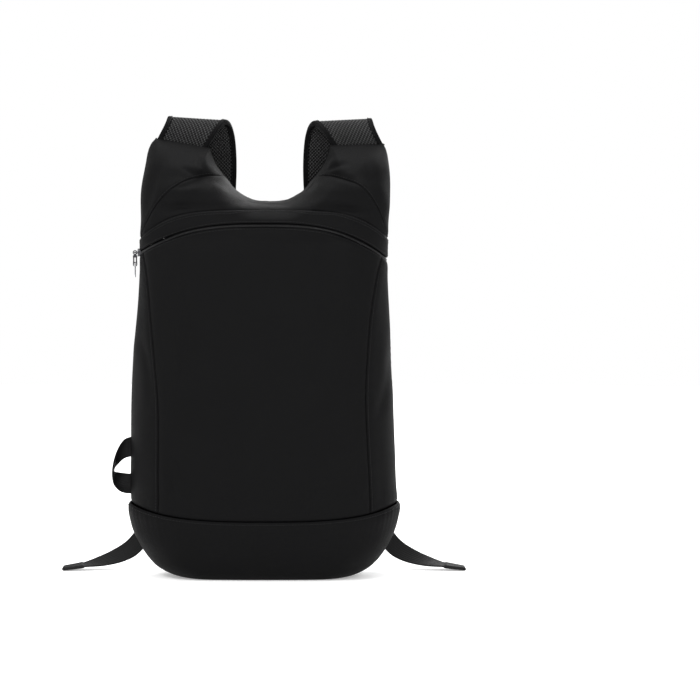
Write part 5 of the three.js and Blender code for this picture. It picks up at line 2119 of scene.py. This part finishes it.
def tube(
    name: str, points: Array, radius: float, closed: bool, sides: int = 14, flat: float = 1.0
) -> bpy.types.Object:
    """A round bar along a line.

    Args:
        name: Its name.
        points: Its middle line.
        radius: Its radius.
        closed: Whether its ends meet.
        sides: Points round its section.
        flat: How much wider the section is one way.

    Returns:
        The bar's object.
    """
    way = unit(
        np.roll(points, -1, 0) - np.roll(points, 1, 0)
    ) if closed else unit(np.gradient(points, axis=0))
    pole = np.linalg.svd(points - points.mean(0))[2][2]
    side = unit(np.cross(way, pole))
    angle = np.arange(sides) / sides * 2 * np.pi
    ring = (
        side[:, None] * np.cos(angle)[None, :, None] * radius
        + pole * (np.sin(angle) * radius * flat)[None, :, None]
    )
    loop = points[:, None] + ring
    rows = len(points)
    faces = quads(rows, sides, ring=True, turned=True)
    if closed:
        k, last = np.arange(sides), (rows - 1) * sides
        ahead = (k + 1) % sides
        faces += np.stack([last + ahead, last + k, k, ahead], -1)[:, ::-1].tolist()
    else:
        faces += [list(range(sides)), list(range((rows - 1) * sides, rows * sides))[::-1]]
    made = new_object(name, loop.reshape(-1, 3), faces)
    work = bmesh.new()
    work.from_mesh(made.data)
    bmesh.ops.recalc_face_normals(work, faces=work.faces)
    work.to_mesh(made.data)
    work.free()
    return made


def joined(name: str, pieces: Sequence[bpy.types.Object]) -> bpy.types.Object:
    """Joins objects into one.

    Args:
        name: The new object's name.
        pieces: The objects, which are used up.

    Returns:
        The joined object.
    """
    work = bmesh.new()
    for piece in pieces:
        work.from_mesh(piece.data)
        bpy.data.objects.remove(piece)
    mesh = bpy.data.meshes.new(name)
    work.to_mesh(mesh)
    work.free()
    mesh.shade_smooth()
    mesh.set_sharp_from_angle(angle=SHARP_ANGLE)
    return linked(name, mesh)


@dataclass
class ZipHardware:
    """Slider, pull and wire loop at the left end of the zip."""

    body: BagBody
    length: float = 10.0
    width: float = 8.0
    plate_thick: float = 1.6
    foot: float = 1.4
    bar_radius: float = 0.9
    eye_wall: float = 1.0
    eye_clearance: float = 0.45
    touch: float = 0.3
    flap_lift: float = 0.6
    seat: float = 2.6
    pull_width: float = 4.4
    pull_thick: float = 3.0
    pull_length: float = 14.0
    pull_neck: float = 1.0
    wire: float = 0.6
    loop_length: float = 11.0

    def build(self) -> None:
        """Makes the three metal pieces."""
        form, side = self.body.form, Side.LEFT
        z = (self.body.foot_end[side] + self.body.coil_end[side]) / 2
        face = float(form.outline(side, np.float64(z))) - self.flap_lift - self.touch
        y = float(form.section("middle", np.float64(z)))
        eye_hole = self.bar_radius + self.eye_clearance
        standoff = eye_hole + self.eye_wall + self.touch
        out = self.plate_thick + standoff
        half, wide = self.length / 2, self.width / 2
        shape = np.array([
            (-half, -wide / 2), (-half, wide / 2), (-self.foot, wide), (half, wide * 0.8), (
                half, -wide * 0.8
            ), (-self.foot, -wide),
        ])[::-1]
        base = plate("slider_plate", [soften(shape, 0.9)], self.plate_thick + self.seat, 0.35)
        base.data.transform(
            plate_turn(Plane.YZ, np.array([face - (self.plate_thick - self.seat) / 2, y, z]))
        )
        arch = np.array([
            (
                -half + 0.7, self.plate_thick - 0.4
            ), (-half + 1.5, out * 0.75), (-half + 2.4, out), (half - 2.4, out),
            (half - 1.5, out * 0.75), (half - 0.7, self.plate_thick - 0.4),
        ])
        arch = catmull_rom(
            np.stack([face - arch[:, 1], y + arch[:, 0], np.full(6, z)], -1), np.linspace(0, 1, 60)
        )
        bridge = tube("slider_bridge", arch, self.bar_radius * 0.92, False)
        slider = joined("zip_slider_body", [base, bridge])
        finish_piece(slider, DARK_METAL, nodes=("zip_slider",))

        eye, foot = eye_hole + self.eye_wall, -(self.pull_length - self.pull_width / 2)
        lean = math.asin(0.5)
        top = np.linspace(-np.pi / 2 + lean, 3 * np.pi / 2 - lean, 40)
        low = np.linspace(np.pi, 2 * np.pi, 24)
        outline = np.concatenate([
            np.stack([np.cos(top), np.sin(top)], -1) * eye,
            [
                (-self.pull_width / 2, -eye - self.pull_neck),
                (-self.pull_width / 2 + 0.25, (foot - eye) / 2),
            ],
            np.stack([np.cos(low), np.sin(low)], -1) * self.pull_width / 2 + (0, foot),
            [(self.pull_width / 2 - 0.25, (foot - eye) / 2), (self.pull_width / 2, -eye - self.pull_neck)],
        ])
        loop_half = self.pull_thick / 2 + self.touch + self.wire
        sag = loop_half - math.sqrt(loop_half**2 - (self.pull_thick / 2) ** 2)
        hole = self.wire + self.touch + sag / 2
        grip = rounded_box(1.5, 4.6, 0.7, (0, (foot - eye) / 2 - 0.2))
        pull = plate(
            "zip_pull_plate",
            [outline, circle(eye_hole), circle(hole, (0, foot)), grip],
            self.pull_thick,
            0.45,
        )
        bar_x = face - self.plate_thick - standoff
        pull.data.transform(plate_turn(Plane.XZ, np.array([bar_x, y, z])))
        finish_piece(pull, DARK_METAL, Body.PULL, ("zip_pull",))

        straight = self.loop_length - self.pull_thick
        turn = np.linspace(0, np.pi, 20)
        upper = np.stack([np.zeros(20), loop_half * np.cos(turn), loop_half * np.sin(turn)], -1)
        lower = np.stack(
            [np.zeros(20), -loop_half * np.cos(turn), -loop_half * np.sin(turn) - straight], -1
        )
        drop = np.array([bar_x, y, z + foot - loop_half + sag / 2])
        loop = tube("pull_loop_wire", np.concatenate([upper, lower]) + drop, self.wire, True)
        finish_piece(loop, SILVER, Body.PULL, ("pull_loop",))


def soften(outline: Array, radius: float, steps: int = 5) -> Array:
    """Rounds the corners of an outline.

    Args:
        outline: Its corners.
        radius: How far from each corner the rounding starts.
        steps: Points on each rounded corner.

    Returns:
        The rounded outline.
    """
    before, after = np.roll(outline, 1, 0), np.roll(outline, -1, 0)
    parts = []
    for a, b, c in zip(before, outline, after):
        start, end = b + unit(a - b) * radius, b + unit(c - b) * radius
        t = np.linspace(0, 1, steps)[:, None]
        parts.append((1 - t) ** 2 * start + 2 * t * (1 - t) * b + t**2 * end)
    return np.concatenate(parts)


@dataclass
class SideLoop:
    """The loop of webbing on the left side, which turns half round on its way."""

    form: BagForm = BagForm()
    width: float = 20.0
    thick: float = 1.5
    touch: float = 0.3
    sewn_in: float = 3.0
    rows: tuple[tuple[float, float, float], ...] = (
        (0.03, 0.3475, 0), (0.3, 0.34, 14), (0.62, 0.319, 42), (0.8, 0.297, 72), (0.86, 0.278, 96),
        (0.8, 0.262, 124), (0.55, 0.2525, 152), (0.25, 0.2485, 172), (0.03, 0.2475, 180),
    )

    def build(self) -> None:
        """Makes the loop and the stitches at its ends."""
        grid = np.array(self.rows)
        z = grid[:, 1] * self.form.height
        x = self.form.outline(Side.LEFT, z) - self.touch - grid[:, 0] * self.width
        x[[0, -1]] += self.sewn_in
        y = self.form.section("middle", z)
        t = np.linspace(0, 1, 240)
        points = catmull_rom(np.stack([x, y, z], -1), t)
        turn = np.radians(
            Table(
                ("at", "turn"), tuple((k / 8, row[2]) for k, row in enumerate(grid))
            ).read("at", "turn", t)
        )
        across = np.stack([np.zeros_like(t), np.sin(turn), -np.cos(turn)], -1)
        rail = Rail.through(points, across, self.width, 0.8)
        loop = Ribbon("side_loop_weave", rail, self.thick).build()
        finish_piece(loop, WEBBING, nodes=("side_loop",))
        log.info("side_loop: %.0f mm of webbing", rail.run[-1])
        thread = Stitching("loop_stitches")
        for far in (3.2, rail.run[-1] - 3.2):
            for face in (-1, 1):
                thread.sew(rail.row_across(far, self.thick / 2 + 0.05, 1.4, face), 0.3, -0.3)
        thread.build()


# Studio


@dataclass(frozen=True)
class Studio:
    """A pale floor with soft light, and a camera at the photograph's place."""

    distance: float = 2.6
    elevation: float = 2.5
    view_width: float = 0.7
    centre: tuple[float, float] = (0.086, 0.227)
    floor_radius: float = 3.4
    floor_sides: int = 96
    sensor: float = 36.0
    aim: tuple[float, float, float] = (0, 0, 0.2)
    lamps: tuple[tuple[str, tuple[float, float, float], float, float], ...] = (
        ("key_light", (-1.3, -1.7, 1.9), 1.0, 34),
        ("fill_light", (1.2, -1.9, 0.9), 1.5, 14),
        ("top_light", (0.0, 0.2, 2.0), 1.2, 24),
        ("back_light", (0.9, 1.9, 1.3), 1.4, 26),
    )

    def floor(self) -> None:
        """Makes the floor, wide enough to fade into the pale air."""
        sides = self.floor_sides
        edge = np.concatenate([circle(self.floor_radius / MM, count=sides), np.zeros((sides, 1))], 1)
        sweep = new_object("studio_floor", edge, [list(range(sides))])
        paper = bpy.data.materials.new("Pale paper")
        paper.use_nodes = True
        looks = {
            "Base Color": (0.92, 0.92, 0.92, 1),
            "Roughness": 0.9,
            "Specular IOR Level": 0.0,
            "Emission Color": (1, 1, 1, 1),
            "Emission Strength": 0.3,
        }
        for name, value in looks.items():
            paper.node_tree.nodes["Principled BSDF"].inputs[name].default_value = value
        sweep.data.materials.append(paper)

    def lamp(self, name: str, place: tuple[float, float, float], size: float, power: float) -> None:
        """Adds a soft light that looks at the bag.

        Args:
            name: Its name.
            place: Where it stands, in metres.
            size: Its width, in metres.
            power: Its power, in watts.
        """
        data = bpy.data.lights.new(name, "AREA")
        data.shape, data.size, data.energy = "DISK", size, power
        lamp = linked(name, data)
        lamp.location = place
        lamp.rotation_mode = "QUATERNION"
        lamp.rotation_quaternion = (Vector(self.aim) - Vector(place)).to_track_quat("-Z", "Y")

    def build(self) -> None:
        """Sets up the floor, the light and the camera."""
        self.floor()
        bpy.context.scene.view_settings.view_transform = "Standard"
        for lamp in self.lamps:
            self.lamp(*lamp)
        world = bpy.data.worlds.new("Studio air")
        bpy.context.scene.world = world
        world.use_nodes = True
        for socket, value in enumerate(((1, 1, 1, 1), 1.0)):
            world.node_tree.nodes["Background"].inputs[socket].default_value = value
        data = bpy.data.cameras.new("camera")
        data.sensor_width = self.sensor
        data.lens = self.sensor * self.distance / self.view_width
        data.shift_x = self.centre[0] / self.view_width
        camera = linked("camera", data)
        tilt = math.radians(self.elevation)
        back = Vector((0, -math.cos(tilt), math.sin(tilt)))
        camera.location = Vector((0, 0, self.centre[1])) + back * self.distance
        camera.rotation_mode = "QUATERNION"
        camera.rotation_quaternion = (-back).to_track_quat("-Z", "Y")
        bpy.context.scene.camera = camera


def dress_bag() -> None:
    """Builds the whole bag and its studio."""
    logging.basicConfig(level=logging.INFO, format="%(name)s: %(message)s")
    body = BagBody()
    body.plan()
    body.dress()
    body.stitch()
    for side in Side:
        Harness(side).build()
    SideLoop().build()
    ZipHardware(body).build()
    Studio().build()


if __name__ == "__main__":
    dress_bag()
